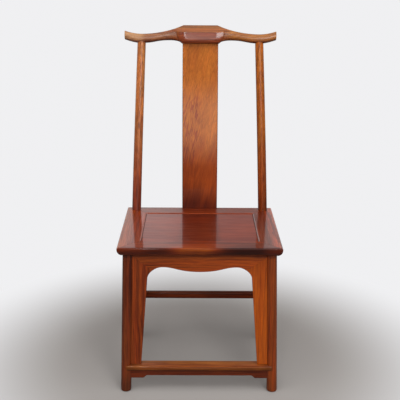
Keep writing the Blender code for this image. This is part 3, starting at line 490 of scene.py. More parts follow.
def rosewood(node, grain, tone, seed, cut=PLAIN_CUT, stains=(), coat=LACQUER):
    """Lacquered rosewood for one piece, whose fibres follow the grain's axis."""
    material, shader, s = new_material(node)
    low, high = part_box(node)
    turn = Euler(GRAIN_TURN[grain])
    turn.y += cut.slant
    offset = Vector((0, *cut.pith)) - turn.to_matrix() @ ((low + high) / 2)
    place = s.place()
    mapping = {"Vector": place, "Location": offset, "Rotation": turn}
    along = s.add("ShaderNodeMapping", mapping).outputs[0]

    wander = s.vector("SUBTRACT", s.noise(along, WANDER, seed, "Color"), [NOISE_MEAN] * 3)
    bent = s.vector("ADD", along, s.vector("MULTIPLY", wander, WANDER_REACH))
    length, width, depth = s.parts(bent)
    across = s.math("ADD", width, s.product(length, cut.tilt))
    radius = s.length(s.add("ShaderNodeCombineXYZ", {1: across, 2: depth}).outputs[0])
    bands = s.rings(radius, *BAND_RINGS, seed)
    lines = s.rings(radius, *LINE_RINGS, seed)
    mottle = s.noise(along, MOTTLE, seed)
    threads = s.noise(along, THREADS, seed)
    streaks = s.noise(bent, STREAKS, seed)
    fibres = s.noise(along, FIBRES, seed)
    pores = s.noise(along, PORES, seed)
    mottle_drift = s.math("SUBTRACT", mottle, NOISE_MEAN)
    thread_drift = s.math("SUBTRACT", threads, NOISE_MEAN)
    dense = s.ease(mottle, *DENSE_MOTTLE, LEAST_DENSE, 1.0)
    even = CALM_EVENNESS * max(1 - cut.figure, 0.0)
    plain = LEAST_FIBRES + (1 - LEAST_FIBRES) * min(cut.figure, 1.0)

    light, dark = tinted(tone, LIGHTER), tinted(tone, DARKER)
    colour = s.mix(s.ease(mottle, *LIGHT_MOTTLE, even, 1 - even), tone, light)
    colour = s.mix(s.mark(bands, DARK_BANDS, cut.figure), colour, dark)
    colour = s.mix(s.mark(bands, LIGHT_BANDS, cut.figure), colour, light)
    colour = s.mix(s.product(s.mark(lines, DARK_LINES, cut.figure), dense), colour, dark)
    colour = s.mix(s.mark(threads, RED_THREADS, cut.figure), colour, RED_STREAK, "MULTIPLY")
    colour = s.mix(s.mark(s.math("ABSOLUTE", thread_drift), HAIRS), colour, dark)
    colour = s.mix(s.product(s.mark(streaks, DARK_STREAKS, cut.figure), dense), colour, dark)
    colour = s.mix(s.mark(fibres, DARK_FIBRES, plain), colour, dark)
    colour = s.mix(s.mark(fibres, LIGHT_FIBRES, plain), colour, light)
    colour = s.mix(s.mark(pores, DARK_PORES), colour, dark)
    if stains:
        drift = s.math("ADD", s.product(mottle_drift, PATCH_WANDER), s.product(thread_drift, PATCH_FRAY))
        dashes = s.mark(s.noise(along, DASHES, seed), SHORT_DASHES)
        for patch in stains:
            colour = stained_and_lit(s, colour, patch, s.parts(place), drift, dashes)
    upward = s.parts(s.add("ShaderNodeNewGeometry", {}).outputs["Normal"])[Z]
    finish = {
        # Faces that look down get painted shade
        "Base Color": s.mix(s.mark(upward, UNDERSIDE_SHADE), colour, UMBER, "MULTIPLY"),
        "Roughness": s.ease(fibres, *FIBRE_SPAN, *FIBRE_ROUGHNESS),
        "Normal": s.bump(pores, coat.pores, PORE_DEPTH),
        "Coat Normal": s.bump(s.noise(along, WAVES, seed), 1.0, WAVE_DEPTH),
        "Coat Weight": coat.weight,
        "Coat Roughness": coat.roughness,
        "Coat IOR": coat.ior,
        "Specular IOR Level": SHEEN,
    }
    for name, value in finish.items():
        s.feed(shader.inputs[name], value)
    return material


# Meshes

def linked(name, data):
    """A new object in the scene."""
    obj = bpy.data.objects.new(name, data)
    bpy.context.scene.collection.objects.link(obj)
    return obj


def as_mesh(shape, name):
    """A bmesh as a mesh. The bmesh is used up."""
    mesh = bpy.data.meshes.new(name)
    shape.to_mesh(mesh)
    shape.free()
    return mesh


def piece(node, shape, grain, tone, slot="rosewood", weighted=True, **looks):
    """A finished piece for a node of the frame. Weighted normals keep its flat faces flat."""
    wood = rosewood(node, grain, tone, **looks)
    bmesh.ops.translate(shape, vec=(0, SEAT_Y, 0), verts=shape.verts)
    bmesh.ops.recalc_face_normals(shape, faces=shape.faces)
    mesh = as_mesh(shape, node + "_finish")
    mesh.shade_smooth()
    mesh.set_sharp_from_angle(angle=SHARP_ANGLE)
    mesh.materials.append(wood)
    obj = linked(node + "_finish", mesh)
    if weighted:
        flatten = obj.modifiers.new("even_faces", "WEIGHTED_NORMAL")
        flatten.keep_sharp = True
    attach(obj, "root")
    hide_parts(node)
    return wood


def loft(rings):
    """A solid through rings of equal counts of points, closed at both ends."""
    shape = bmesh.new()
    loops = [[shape.verts.new(point) for point in ring] for ring in rings]
    count = len(loops[0])
    for near, far in zip(loops, loops[1:]):
        for i in range(count):
            j = (i + 1) % count
            shape.faces.new((near[i], near[j], far[j], far[i]))
    shape.faces.new(loops[0])
    shape.faces.new(loops[-1])
    return shape


def as_object(shape):
    """A bmesh as a passing object, for the modifiers that shape it."""
    bmesh.ops.recalc_face_normals(shape, faces=shape.faces)
    return linked("passing", as_mesh(shape, "passing"))


def discard(obj):
    """Takes a passing object and its data away."""
    bpy.data.batch_remove((obj, obj.data))


def as_shape(obj):
    """The evaluated mesh of a passing object, as a bmesh."""
    graph = bpy.context.evaluated_depsgraph_get()
    mesh = bpy.data.meshes.new_from_object(obj.evaluated_get(graph))
    shape = bmesh.new()
    shape.from_mesh(mesh)
    bpy.data.meshes.remove(mesh)
    discard(obj)
    return shape


def carved(shape, tools):
    """A shape with other shapes cut out of it."""
    body = as_object(shape)
    cutters = [as_object(tool) for tool in tools]
    for cutter in cutters:
        modifier = body.modifiers.new("cut", "BOOLEAN")
        modifier.operation = "DIFFERENCE"
        modifier.solver = "EXACT"
        modifier.object = cutter
    result = as_shape(body)
    for cutter in cutters:
        discard(cutter)
    return result


def plate(outline, thickness, arris):
    """A flat outline in local XY, thickened evenly along local Z, with rounded edges."""
    data = bpy.data.curves.new("outline", "CURVE")
    data.dimensions = "2D"
    data.fill_mode = "BOTH"
    data.extrude = thickness / 2 - arris
    data.bevel_depth = arris
    data.bevel_resolution = ARRIS_STEPS
    data.offset = -arris
    spline = data.splines.new("POLY")
    spline.points.add(len(outline) - 1)
    for point, place in zip(spline.points, outline):
        point.co = (place[0], place[1], 0, 1)
    spline.use_cyclic_u = True
    shape = as_shape(linked("outline", data))
    bmesh.ops.remove_doubles(shape, verts=shape.verts, dist=WELD)
    return shape


def moved(shape, matrix):
    bmesh.ops.transform(shape, matrix=matrix, verts=shape.verts)
    return shape


def trim(shape, point, normal):
    """Takes away what lies past a plane, where its normal points, and closes the cut."""
    everything = shape.verts[:] + shape.edges[:] + shape.faces[:]
    result = bmesh.ops.bisect_plane(
        shape, geom=everything, plane_co=point, plane_no=normal, clear_outer=True, dist=CUT_WELD
    )
    edges = [item for item in result["geom_cut"] if isinstance(item, bmesh.types.BMEdge)]
    bmesh.ops.edgeloop_fill(shape, edges=edges)


def bezier(start, start_handle, end_handle, end, count=CURVE_STEPS):
    """Points along a bezier stretch, without its first point."""
    flat = [Vector((*place, 0)) for place in (start, start_handle, end_handle, end)]
    return [(point.x, point.y) for point in interpolate_bezier(*flat, count + 1)[1:]]


def curve(start, end, handles, count=CURVE_STEPS):
    """Points along a curve, without its first, whose handles are shares of the stretch, across and up."""
    places = [[a + (b - a) * share for a, b, share in zip(start, end, shares)] for shares in handles]
    return bezier(start, *places, end, count)


def smooth(t):
    t = min(max(t, 0.0), 1.0)
    return t * t * (3 - 2 * t)


def circle(count, start=0.0):
    """Cosines and sines of the points of a ring."""
    angles = [2 * pi * (i + start) / count for i in range(count)]
    return [(cos(angle), sin(angle)) for angle in angles]


def fuller(c, s, fullness):
    """A point of a ring that is round at a fullness of 2 and squarer above it."""
    power = 2 / fullness
    return copysign(abs(c) ** power, c), copysign(abs(s) ** power, s)


def spread(low, high, count):
    """Evenly spaced values, both ends among them."""
    return [low + (high - low) * i / (count - 1) for i in range(count)]


def quarter(steps):
    """Angles of a quarter turn, both ends among them."""
    return [pi / 2 * step / steps for step in range(steps + 1)]


# Legs and posts

def leg_centre(side, end, z):
    """Where the axis of a leg is, below the seat, at a height."""
    down = FRAME_BOTTOM - z
    x = LEG_X + down * tan(SPLAY_SIDE)
    if end == "front":
        y = FRONT_LEG_Y - down * tan(SPLAY_FRONT)
    else:
        y = POST_Y + down * tan(SPLAY_BACK)
    return Vector((SIDES[side] * x, y, z))


def leg_radius(z):
    return FOOT_RADIUS + (LEG_TOP_RADIUS - FOOT_RADIUS) * z / FRAME_BOTTOM


def level_ring(centre, radius):
    return [centre + Vector((radius * c, radius * s, 0)) for c, s in circle(ROUND_SIDES)]


def leg_rings(side, end):
    """Level rings from a worn, rounded foot up to the seat frame."""
    rings = []
    for angle in quarter(ROUNDING_STEPS):
        z = FOOT_ROUNDING * (1 - cos(angle))
        radius = leg_radius(z) - FOOT_ROUNDING * (1 - sin(angle))
        rings.append(level_ring(leg_centre(side, end, z), radius))
    for z in spread(FOOT_ROUNDING, FRAME_BOTTOM, LEG_RINGS)[1:]:
        rings.append(level_ring(leg_centre(side, end, z), leg_radius(z)))
    return rings


def leg_space(side, end):
    """The space that its neighbours leave for a leg."""
    ends = ((-FIT, FOOT_RADIUS), (FRAME_BOTTOM, LEG_TOP_RADIUS))
    return loft([level_ring(leg_centre(side, end, z), radius + FIT) for z, radius in ends])


def lean(z, distance):
    """How far the back has leaned at a height: upright at the seat, most inclined at the crest."""
    t = max((z - SEAT_HEIGHT) / BACK_HEIGHT, 0.0)
    rise = distance * (3 * t**2 - 2 * t**3)
    return rise + BACK_HEIGHT * (BACK_SLOPE_SEAT * (t - 2 * t**2 + t**3) + BACK_SLOPE_TOP * (t**3 - t**2))


def post_centre(side, z):
    x = LEG_X - (z - FRAME_BOTTOM) * tan(POST_CONVERGENCE)
    return Vector((SIDES[side] * x, POST_Y + lean(z, BACK_LEAN), z))


def post_rings(side, low, high, count, grow=0.0):
    """Rings square to the back post between two heights."""
    rings = []
    for z in spread(low, high, count):
        upward = (post_centre(side, z + FIT) - post_centre(side, z - FIT)).normalized()
        across = Vector((0, 1, 0)).cross(upward).normalized()
        forward = upward.cross(across)
        share = (z - FRAME_BOTTOM) / (CREST_LEVEL - FRAME_BOTTOM)
        radius = POST_SEAT_RADIUS + (POST_TOP_RADIUS - POST_SEAT_RADIUS) * share + grow
        centre = post_centre(side, z)
        rings.append([centre + (across * c + forward * s) * radius for c, s in circle(ROUND_SIDES)])
    return rings


def legs():
    """The front legs, and the rear legs with their posts."""
    front_tones = {"left": DARK_TONE, "right": LEG_TONE}
    posts = {
        "left": (LEFT_POST_TONE, LEFT_POST_SHADE_AND_TONE, LEFT_POST_COAT),
        "right": (RIGHT_POST_TONE, RIGHT_POST_SHADE_AND_TONE, RIGHT_POST_COAT),
    }
    for index, side in enumerate(SIDES):
        shape = loft(leg_rings(side, "front"))
        stains = (UNDER_SEAT_SHADOW, FOOT_STAINS[side])
        piece("front_leg_" + side, shape, "Z", front_tones[side], seed=3.1 + index, stains=stains)
        tone, stains, coat = posts[side]
        rings = leg_rings(side, "rear")
        rings += post_rings(side, FRAME_BOTTOM + FIT, CREST_LEVEL + POST_TENON_HEIGHT, POST_RINGS)
        piece("rear_leg_" + side, loft(rings), "Z", tone, seed=5.3 + index, stains=stains, coat=coat)


# Crest rail

def crest_contours():
    """The top and bottom edges of the crest's right half, from middle to end, as (x, height) points."""
    ridge = (HEAD_HALF, HEAD_TOP)
    post_top = (POST_TOP_X, CREST_THICKNESS)
    end_top = (CREST_HALF, CREST_END_RISE + CREST_END_THICKNESS)
    top = [(0.0, HEAD_TOP), ridge]
    top += curve(ridge, post_top, RIDGE_HANDLES, CREST_CURVE_STEPS)
    top += curve(post_top, end_top, END_TOP_HANDLES, CREST_CURVE_STEPS)

    corner = (HEAD_HALF + HEAD_CORNER_FLARE, HEAD_BOTTOM)
    neck = (HEAD_HALF + HEAD_SHOULDER, CREST_NECK_RISE)
    post_bottom = (POST_TOP_X, 0.0)
    end_bottom = (CREST_HALF, CREST_END_RISE)
    steep_x = corner[0] + LOWER_CORNER_HANDLE[0] * HEAD_SHOULDER
    steep = (steep_x, LOWER_CORNER_HANDLE[1] * CREST_NECK_RISE)
    level = (neck[0] - NECK_HANDLE * HEAD_SHOULDER, neck[1])
    bottom = [(0.0, HEAD_BOTTOM), corner]
    bottom += bezier(corner, steep, level, neck, CREST_CURVE_STEPS)
    bottom += curve(neck, post_bottom, EVEN_HANDLES, CREST_CURVE_STEPS)
    bottom += curve(post_bottom, end_bottom, END_BOTTOM_HANDLES, CREST_CURVE_STEPS)
    return np.array(top).T, np.array(bottom).T


TOP_EDGE, BOTTOM_EDGE = crest_contours()


def crest_edges(x):
    """Heights of the crest's top and bottom edges at a distance from the middle."""
    return float(np.interp(x, *TOP_EDGE)), float(np.interp(x, *BOTTOM_EDGE))


def crest_middle(x):
    """How far back the crest's centre line lies at a distance from the middle."""
    base = POST_Y + lean(CREST_LEVEL, BACK_LEAN)
    inward = (x - HEAD_HALF) / (POST_TOP_X - HEAD_HALF)
    outward = max((x - POST_TOP_X) / CREST_OVERHANG, 0.0)
    return base + CREST_BOW * (1 - smooth(inward)) + CREST_END_SWEEP * outward**2


def headrest_reach(height):
    """Half the width of the headrest's raised front at a height, narrow at its bottom."""
    share = min(max((height - HEAD_BOTTOM) / HEAD_FRONT_CORNER, 0.0), 1.0)
    narrow = SPLAT_WIDTH / 2 + HEAD_FRONT_MARGIN
    return narrow + (HEAD_FRONT_HALF - narrow) * share**HEAD_FRONT_CURVE


def eased_past(distance, soft):
    """How far past a corner a point is, with the corner softened on both sides."""
    if distance < -soft:
        return 0.0
    return distance if distance > soft else (distance + soft) ** 2 / (4 * soft)


def headrest_front(x, height):
    """How far the raised front stands out: flat in the middle, with cheeks that slope back to a crease."""
    left_over = headrest_reach(height) - x
    if left_over <= 0:
        return 0.0
    proud = HEAD_FRONT_PROUD - (crest_middle(0.0) - crest_middle(x))
    proud -= HEAD_CHEEK_SLOPE * eased_past(HEAD_CHEEK_LENGTH - left_over, HEAD_CHEEK_SOFTNESS)
    past = max(1 - left_over / HEAD_CREASE_ROUNDING, 0.0)
    return proud * sqrt(1 - past**2)


def crest_section(x, c, s):
    """A point of the crest's section at a distance from the middle: its depth and its height."""
    top, bottom = crest_edges(x)
    headrest = 1 - smooth((x - HEAD_HALF) / HEAD_SHOULDER)
    across, up = fuller(c, s, CREST_FULLNESS + (HEAD_FULLNESS - CREST_FULLNESS) * headrest)
    height = (top + bottom) / 2 + (top - bottom) / 2 * up
    depth = (CREST_DEPTH + (HEAD_DEPTH - CREST_DEPTH) * headrest) / 2
    if across < 0:
        depth += headrest_front(x, height)
    leaned = HEAD_LEAN * headrest * (height - (top + bottom) / 2)
    return crest_middle(x) + depth * across + leaned, height


def shaved(y, height):
    """A point of the headrest with the slanted facet shaved off its top."""
    ridge_y = crest_middle(0.0) + HEAD_RIDGE_BACK
    ridge_height = HEAD_TOP - HEAD_RIDGE_DROP
    normal_y = -sin(HEAD_FACET_TILT)
    normal_z = cos(HEAD_FACET_TILT)
    over = (y - ridge_y) * normal_y + (height - ridge_height) * normal_z
    drop = eased_past(over, HEAD_FACET_SOFTNESS)
    return y - drop * normal_y, height - drop * normal_z


def crest_point(station, c, s, side, shrink):
    """A point of the crest. Near the raised front, stations lean with its ends and follow its crease."""
    x = station
    y, height = crest_section(x, c, s)
    pull = smooth(station / HEAD_FRONT_HALF)
    if station > HEAD_FRONT_HALF:
        pull = 1 - smooth((station - HEAD_FRONT_HALF) / HEAD_SHOULDER)
    for _ in range(CREASE_ROUNDS):
        x = station - pull * (HEAD_FRONT_HALF - headrest_reach(height))
        y, height = crest_section(x, c, s)
    y, height = shaved(y, height)
    middle = crest_middle(x)
    centre = sum(crest_edges(x)) / 2
    y = middle + (y - middle) * (1 - shrink)
    height = centre + (height - centre) * (1 - shrink)
    return side * x, y, CREST_LEVEL + height


def crest_stations():
    """Distances of the crest's rings from the middle, and how far each is drawn in."""
    crease = HEAD_FRONT_HALF - HEAD_CREASE_ROUNDING
    stations = set(spread(0.0, HEAD_HALF, HEAD_RINGS))
    stations |= set(spread(HEAD_HALF, crease, SHOULDER_RINGS))
    bends = [sin(angle) for angle in quarter(ROUNDING_STEPS)[1:]]
    stations |= {crease + HEAD_CREASE_ROUNDING * bend for bend in bends}
    stations |= set(spread(HEAD_FRONT_HALF, CREST_HALF - CREST_END_ROUNDING, ARM_RINGS))
    drawn = [(station, 0.0) for station in sorted(stations)]
    for angle in quarter(END_STEPS)[1:]:
        inward = CREST_END_ROUNDING * (1 - cos(angle)) / (CREST_DEPTH / 2)
        drawn.append((CREST_HALF - CREST_END_ROUNDING * (1 - sin(angle)), inward))
    return drawn


def crest():
    """The yoke: round arms, a headrest with a raised front and a facet shaved off its top."""
    stations = crest_stations()
    places = [(-1, station) for station in stations[::-1]] + [(1, station) for station in stations[1:]]
    rings = []
    for side, (station, shrink) in places:
        rings.append([crest_point(station, c, s, side, shrink) for c, s in circle(CREST_SIDES, 0.5)])
    looks = {"seed": 1.7, "stains": CREST_STAINS_AND_LIGHT, "coat": CREST_COAT}
    wood = piece("crest_rail", loft(rings), "X", CREST_TONE, weighted=False, **looks)
    s = Shading(wood.node_tree)
    span = (HEAD_FRONT_HALF, CREST_WORN_REACH)
    worn = s.ease(s.math("ABSOLUTE", s.parts(s.place())[X]), *span, HEAD_ROUGHNESS, CREST_ARM_ROUGHNESS)
    s.feed(wood.node_tree.nodes["Principled BSDF"].inputs["Coat Roughness"], worn)


# Back splat

def rounded_section(width, depth, rounding):
    """A rectangle with round corners, as points about its middle."""
    points = []
    for turn, (sign_x, sign_y) in enumerate(((1, 1), (-1, 1), (-1, -1), (1, -1))):
        corner = (sign_x * (width / 2 - rounding), sign_y * (depth / 2 - rounding))
        for step in range(CORNER_STEPS + 1):
            angle = pi / 2 * (turn + step / CORNER_STEPS)
            points.append((corner[0] + rounding * cos(angle), corner[1] + rounding * sin(angle)))
    return points


def back_splat():
    """The curved splat, from the back rail to inside the headrest."""
    distance = crest_middle(0.0) - SPLAT_Y
    section = rounded_section(SPLAT_WIDTH, SPLAT_THICKNESS, SPLAT_ROUNDING)
    rings = []
    for z in spread(SEAT_HEIGHT + FIT, CREST_LEVEL + HEAD_BOTTOM + SPLAT_TONGUE_DEPTH, SPLAT_RINGS):
        y = SPLAT_Y + lean(z, distance)
        rings.append([(across, y + deep, z) for across, deep in section])
    looks = {"seed": 8.2, "cut": SPLAT_CUT, "stains": SPLAT_STAINS_AND_SHADE}
    piece("back_splat", loft(rings), "Z", SPLAT_TONE, "rosewood_light", **looks)


# Seat

def rail_outline():
    """Section of a seat rail: inward from its moulded outer edge, and down from its top."""
    inner = (RAIL_WIDTH, -INNER_ARRIS)
    inner_top = (RAIL_WIDTH - INNER_ARRIS_WIDTH, 0.0)
    outer_top = (EDGE_ARRIS_WIDTH, 0.0)
    outer = (0.0, -EDGE_ARRIS)
    outline = [(RAIL_WIDTH, -RAIL_THICKNESS), inner]
    outline += curve(inner, inner_top, INNER_ARRIS_HANDLES, INNER_ARRIS_STEPS)
    outline.append(outer_top)
    outline += curve(outer_top, outer, EDGE_ARRIS_HANDLES, EDGE_ARRIS_STEPS)
    outline += curve(outer, (EDGE_INSET, -RAIL_THICKNESS), BELLY_HANDLES, BELLY_STEPS)
    return outline


def seat_rail(name, length, inward, outer_edge, **looks):
    """A mitred rail of the seat frame. Inward is the level direction from its outer edge to the panel."""
    along = inward.cross(UP)
    outline = rail_outline()
    rings = []
    for end, drop in ((-1, MITRE_ARRIS), (-1, 0.0), (1, 0.0), (1, MITRE_ARRIS)):
        ring = []
        for p, q in outline:
            reach = length / 2 - p - FIT / 2 - (MITRE_ARRIS - drop)
            down = drop * (1 + q / RAIL_THICKNESS)
            level = inward * (p - outer_edge) + along * end * reach
            ring.append(level + UP * (SEAT_HEIGHT + q - down))
        rings.append(ring)
    shape = loft(rings)
    if name != "front":
        hole = (FRAME_BOTTOM - POST_HOLE_REACH, SEAT_HEIGHT + POST_HOLE_REACH, POST_HOLE_RINGS, FIT)
        shape = carved(shape, [loft(post_rings(side, *hole)) for side in SIDES if name in ("back", side)])
    piece("seat_rail_" + name, shape, **looks)


def seat():
    """The four rails of the seat's frame and the panel between them."""
    for index, (name, direction) in enumerate((("front", 1), ("back", -1))):
        looks = {"grain": "X", "tone": RAIL_TONE, "seed": 11.4 + index}
        looks["stains"] = FRONT_RAIL_STAINS if name == "front" else ()
        seat_rail(name, SEAT_WIDTH, Vector((0, direction, 0)), SEAT_DEPTH / 2, **looks)
    for index, (name, sign) in enumerate(SIDES.items()):
        looks = {"grain": "Y", "seed": 14.6 + index, "stains": SIDE_RAIL_STAINS[name]}
        looks["tone"] = RAIL_TONE if name == "left" else DARK_RAIL_TONE
        seat_rail(name, SEAT_DEPTH, Vector((-sign, 0, 0)), SEAT_WIDTH / 2, **looks)

    half_x = SEAT_WIDTH / 2 - RAIL_WIDTH - PANEL_GAP
    half_y = SEAT_DEPTH / 2 - RAIL_WIDTH - PANEL_GAP
    outline = [(-half_x, -half_y), (half_x, -half_y), (half_x, half_y), (-half_x, half_y)]
    level = Matrix.Translation((0, 0, PANEL_TOP - PANEL_THICKNESS / 2))
    shape = moved(plate(outline, PANEL_THICKNESS, PANEL_ARRIS), level)
    looks = {"seed": 17.9, "cut": PANEL_CUT, "coat": PANEL_COAT}
    piece("seat_panel", shape, "X", PANEL_TONE, "rosewood_dark", **looks)


# Aprons

Face = namedtuple("Face", "frame half_span splay legs")


def face_frame(outward, distance, along, tilt):
    """Frame of a face of the base, under the seat: X right from outside, Y up its legs, Z outward."""
    up = UP * cos(tilt) - outward * sin(tilt)
    across = UP.cross(outward)
    columns = Matrix((across, up, across.cross(up))).transposed().to_4x4()
    origin = outward * distance + across * along + UP * FRAME_BOTTOM
    return Matrix.Translation(origin) @ columns


def base_faces():
    """The four faces of the base, with the legs at the ends of the side ones."""
    half_depth = (POST_Y - FRONT_LEG_Y) / 2
    middle = (POST_Y + FRONT_LEG_Y) / 2
    front = face_frame(Vector((0, -1, 0)), -FRONT_LEG_Y, 0.0, SPLAY_FRONT)
    back = face_frame(Vector((0, 1, 0)), POST_Y, 0.0, SPLAY_BACK)
    left = face_frame(Vector((-1, 0, 0)), LEG_X, -middle, SPLAY_SIDE)
    right = face_frame(Vector((1, 0, 0)), LEG_X, middle, SPLAY_SIDE)
    return {
        "front": Face(front, LEG_X, SPLAY_SIDE, None),
        "back": Face(back, LEG_X, SPLAY_SIDE, None),
        "left": Face(left, half_depth, SPLAY_FRONT, {"left": "rear", "right": "front"}),
        "right": Face(right, half_depth, SPLAY_FRONT, {"left": "front", "right": "rear"}),
    }


def leg_surface(face, height):
    """How far a face's legs are from its middle, at a height below the seat frame."""
    return face.half_span + height * tan(face.splay) - leg_radius(FRAME_BOTTOM - height)


def tongued(face, bottom, inner=()):
    """Outline of a board under the seat frame, with tongues inside a face's legs, round an inner edge."""
    low, high = [leg_surface(face, height) + APRON_TONGUE_DEPTH for height in (bottom, 0.0)]
    return [(-high, -FIT), (-low, -bottom), *inner, (low, -bottom), (high, -FIT)]


def arch(face, bottom, form):
    """Inner edge of a three-board apron, from left foot to right, and the start of its right mitre."""
    foot = (leg_surface(face, bottom) - form.bottom_width, -bottom)
    corner = (leg_surface(face, form.corner_height) - form.top_width, -form.corner_height)
    peak = (corner[0] - form.shoulder, -form.peak_height)
    slant = (foot[0] - corner[0]) / (bottom - form.corner_height)
    rise = ARCH_CORNER_HANDLES[0] * (form.corner_height - form.peak_height)
    rising = (corner[0] - rise * slant, corner[1] + rise)
    level = (peak[0] + ARCH_CORNER_HANDLES[1] * form.shoulder, peak[1])
    round_corner = bezier(corner, rising, level, peak)
    right = [foot, corner, *round_corner]
    middle = []
    if form.middle_height != form.peak_height:
        *wave, lowest = curve(peak, (0.0, -form.middle_height), ARCH_WAVE_HANDLES)
        right += wave
        middle = [lowest]
    left = [(-x, y) for x, y in right]
    return left + middle + right[::-1], round_corner[CURVE_STEPS // 2]


def apron_boards(face, bottom, form):
    """The top and side boards of an apron, split at their mitres."""
    inner, turn = arch(face, bottom, form)
    outline = tongued(face, bottom, inner)
    boards = {}
    for place in ("top", *SIDES):
        shape = plate(outline, APRON_THICKNESS, APRON_ARRIS)
        for side, sign in SIDES.items():
            mitre = Vector((sign * (face.half_span - turn[0]), -turn[1], 0))
            towards_top = Vector((-sign * mitre.y, sign * mitre.x, 0)).normalized()
            point = Vector((sign * turn[0], turn[1], 0))
            if place == "top":
                trim(shape, point + towards_top * FIT / 2, -towards_top)
            elif place == side:
                trim(shape, point - towards_top * FIT / 2, towards_top)
                trim(shape, Vector((0, 0, 0)), Vector((-sign, 0, 0)))
        boards[place] = shape
    return boards


def aprons():
    """The arched front apron, the plain side aprons and the short back apron."""
    faces = base_faces()
    bottom = (FRAME_BOTTOM - FOOTREST_TOP - FIT) / cos(SPLAY_FRONT)
    tones = {"top": APRON_TONE, "left": STRIP_TONE, "right": BRIGHT_TONE}
    for index, (place, shape) in enumerate(apron_boards(faces["front"], bottom, FRONT_APRON).items()):
        node = "front_apron" if place == "top" else "front_apron_side_" + place
        grain = "X" if place == "top" else "Z"
        cut = CALM_CUT if place == "right" else PLAIN_CUT
        board = moved(shape, faces["front"].frame)
        piece(node, board, grain, tones[place], seed=21.2 + index, cut=cut, stains=[UNDER_SEAT_SHADOW])

    low = SIDE_STRETCHER_Z + STRETCHER_HEIGHT / 2 - APRON_TONGUE_DEPTH
    bottom = (FRAME_BOTTOM - low) / cos(SPLAY_SIDE)
    for side, sign in SIDES.items():
        face = faces[side]
        for index, (place, shape) in enumerate(apron_boards(face, bottom, SIDE_APRON).items()):
            end = "" if place == "top" else face.legs[place] + "_"
            node = "side_apron_" + end + side
            grain = "Y" if place == "top" else "Z"
            piece(node, moved(shape, face.frame), grain, APRON_TONE, seed=26.1 + index + 4 * sign)

    face = faces["back"]
    board = plate(tongued(face, BACK_APRON_HEIGHT), APRON_THICKNESS, APRON_ARRIS)
    piece("back_apron", moved(board, face.frame), "X", APRON_TONE, seed=31.5)


# Stretchers

def oval_stretcher(node, start, end, *wood, **looks):
    """An oval stretcher between the axes of two legs, its ends inside them."""
    along = (end - start).normalized()
    across = UP.cross(along)
    inset = along * LEG_TOP_RADIUS / 2
    rings = []
    for centre in (start + inset, end - inset):
        ring = []
        for c, s in circle(OVAL_SIDES):
            wide, high = fuller(c, s, STRETCHER_FULLNESS)
            ring.append(centre + across * wide * STRETCHER_WIDTH / 2 + UP * high * STRETCHER_HEIGHT / 2)
        rings.append(ring)
    piece(node, loft(rings), *wood, **looks)


def stretchers():
    for index, side in enumerate(SIDES):
        ends = [leg_centre(side, end, SIDE_STRETCHER_Z) for end in ("front", "rear")]
        oval_stretcher("side_stretcher_" + side, *ends, "Y", LEG_TONE, seed=33.3 + index)
    ends = [leg_centre(side, "rear", BACK_STRETCHER_Z) for side in SIDES]
    oval_stretcher("back_stretcher", *ends, "X", DARK_TONE, seed=36.8, coat=FOOT_WORN)


def footrest():
    """The front stretcher, worn by feet, whose lips wrap round the fronts of the legs."""
    middle = FOOTREST_TOP - FOOTREST_THICKNESS / 2
    axis = leg_centre("right", "front", middle)
    front = axis.y - leg_radius(middle) - FOOTREST_PROUD
    section = rounded_section(FOOTREST_DEPTH, FOOTREST_THICKNESS, FOOTREST_ROUNDING)
    start = axis.x - FOOTREST_END_LENGTH
    right = []
    for angle in quarter(ROUNDING_STEPS):
        taper = FOOTREST_END_TAPER * (1 - cos(angle))
        right.append((start + FOOTREST_END_LENGTH * sin(angle), taper))
    between = [(x, 0.0) for x in spread(-start, start, CURVE_STEPS)[1:-1]]
    rings = []
    for x, taper in [(-x, taper) for x, taper in right[::-1]] + between + right:
        ring = []
        worn = FOOTREST_WEAR * (1 - smooth(abs(x) / start))
        for deep, up in section:
            if deep < 0 < up:
                up -= worn
            deep *= 1 - 2 * taper / FOOTREST_DEPTH
            up *= 1 - 2 * taper / FOOTREST_THICKNESS
            ring.append((x, front + FOOTREST_DEPTH / 2 + deep, middle + up))
        rings.append(ring)
    shape = carved(loft(rings), [leg_space(side, "front") for side in SIDES])
    piece("footrest", shape, "X", FOOTREST_TONE, seed=41.6, stains=FOOTREST_SHADE_AND_STAINS, coat=FOOT_WORN)
    footrest_apron(front, axis.x - leg_radius(middle))


def footrest_apron(front, span):
    """The low board under the footrest, with deeper ends, between legs that far from the middle."""
    low = FOOTREST_TOP - FOOTREST_THICKNESS
    inner = span - LOW_APRON_END_LENGTH
    top = low - FIT
    shallow = low - LOW_APRON_HEIGHT
    deep = low - LOW_APRON_END_HEIGHT
    knee = inner + LOW_APRON_END_LENGTH / 3
    outer = span + APRON_TONGUE_DEPTH
    right = [(outer, deep), (knee, deep), *curve((knee, deep), (inner, shallow), EVEN_HANDLES)]
    outline = right + [(-x, z) for x, z in right[::-1]] + [(-outer, top), (outer, top)]
    y = front + LOW_APRON_SETBACK + LOW_APRON_THICKNESS / 2
    upright = Matrix.Translation((0, y, 0)) @ Matrix.Rotation(radians(90), 4, "X")
    board = moved(plate(outline, LOW_APRON_THICKNESS, LOW_APRON_ARRIS), upright)
    piece("footrest_apron", board, "X", DARK_TONE, seed=43.2)


def battens():
    """The frame's own battens under the panel, in plain rosewood."""
    for index, side in enumerate(SIDES):
        node = "panel_batten_" + side
        wood = rosewood(node, "Y", APRON_TONE, seed=47.5 + index)
        data = frame["nodes"][node].data
        data.materials.clear()
        data.materials.append(wood)


# Floor

FLOOR_HALF = 8.0
FLOOR_NEAR = (0.368, 0.343, 0.326)
FLOOR_IN_GLOSS = (0.14, 0.13, 0.12)
FLOOR_FAR = (0.87, 0.87, 0.885)
FLOOR_FADE = (0.40, 1.00)
FLOOR_ROUGHNESS = 0.9


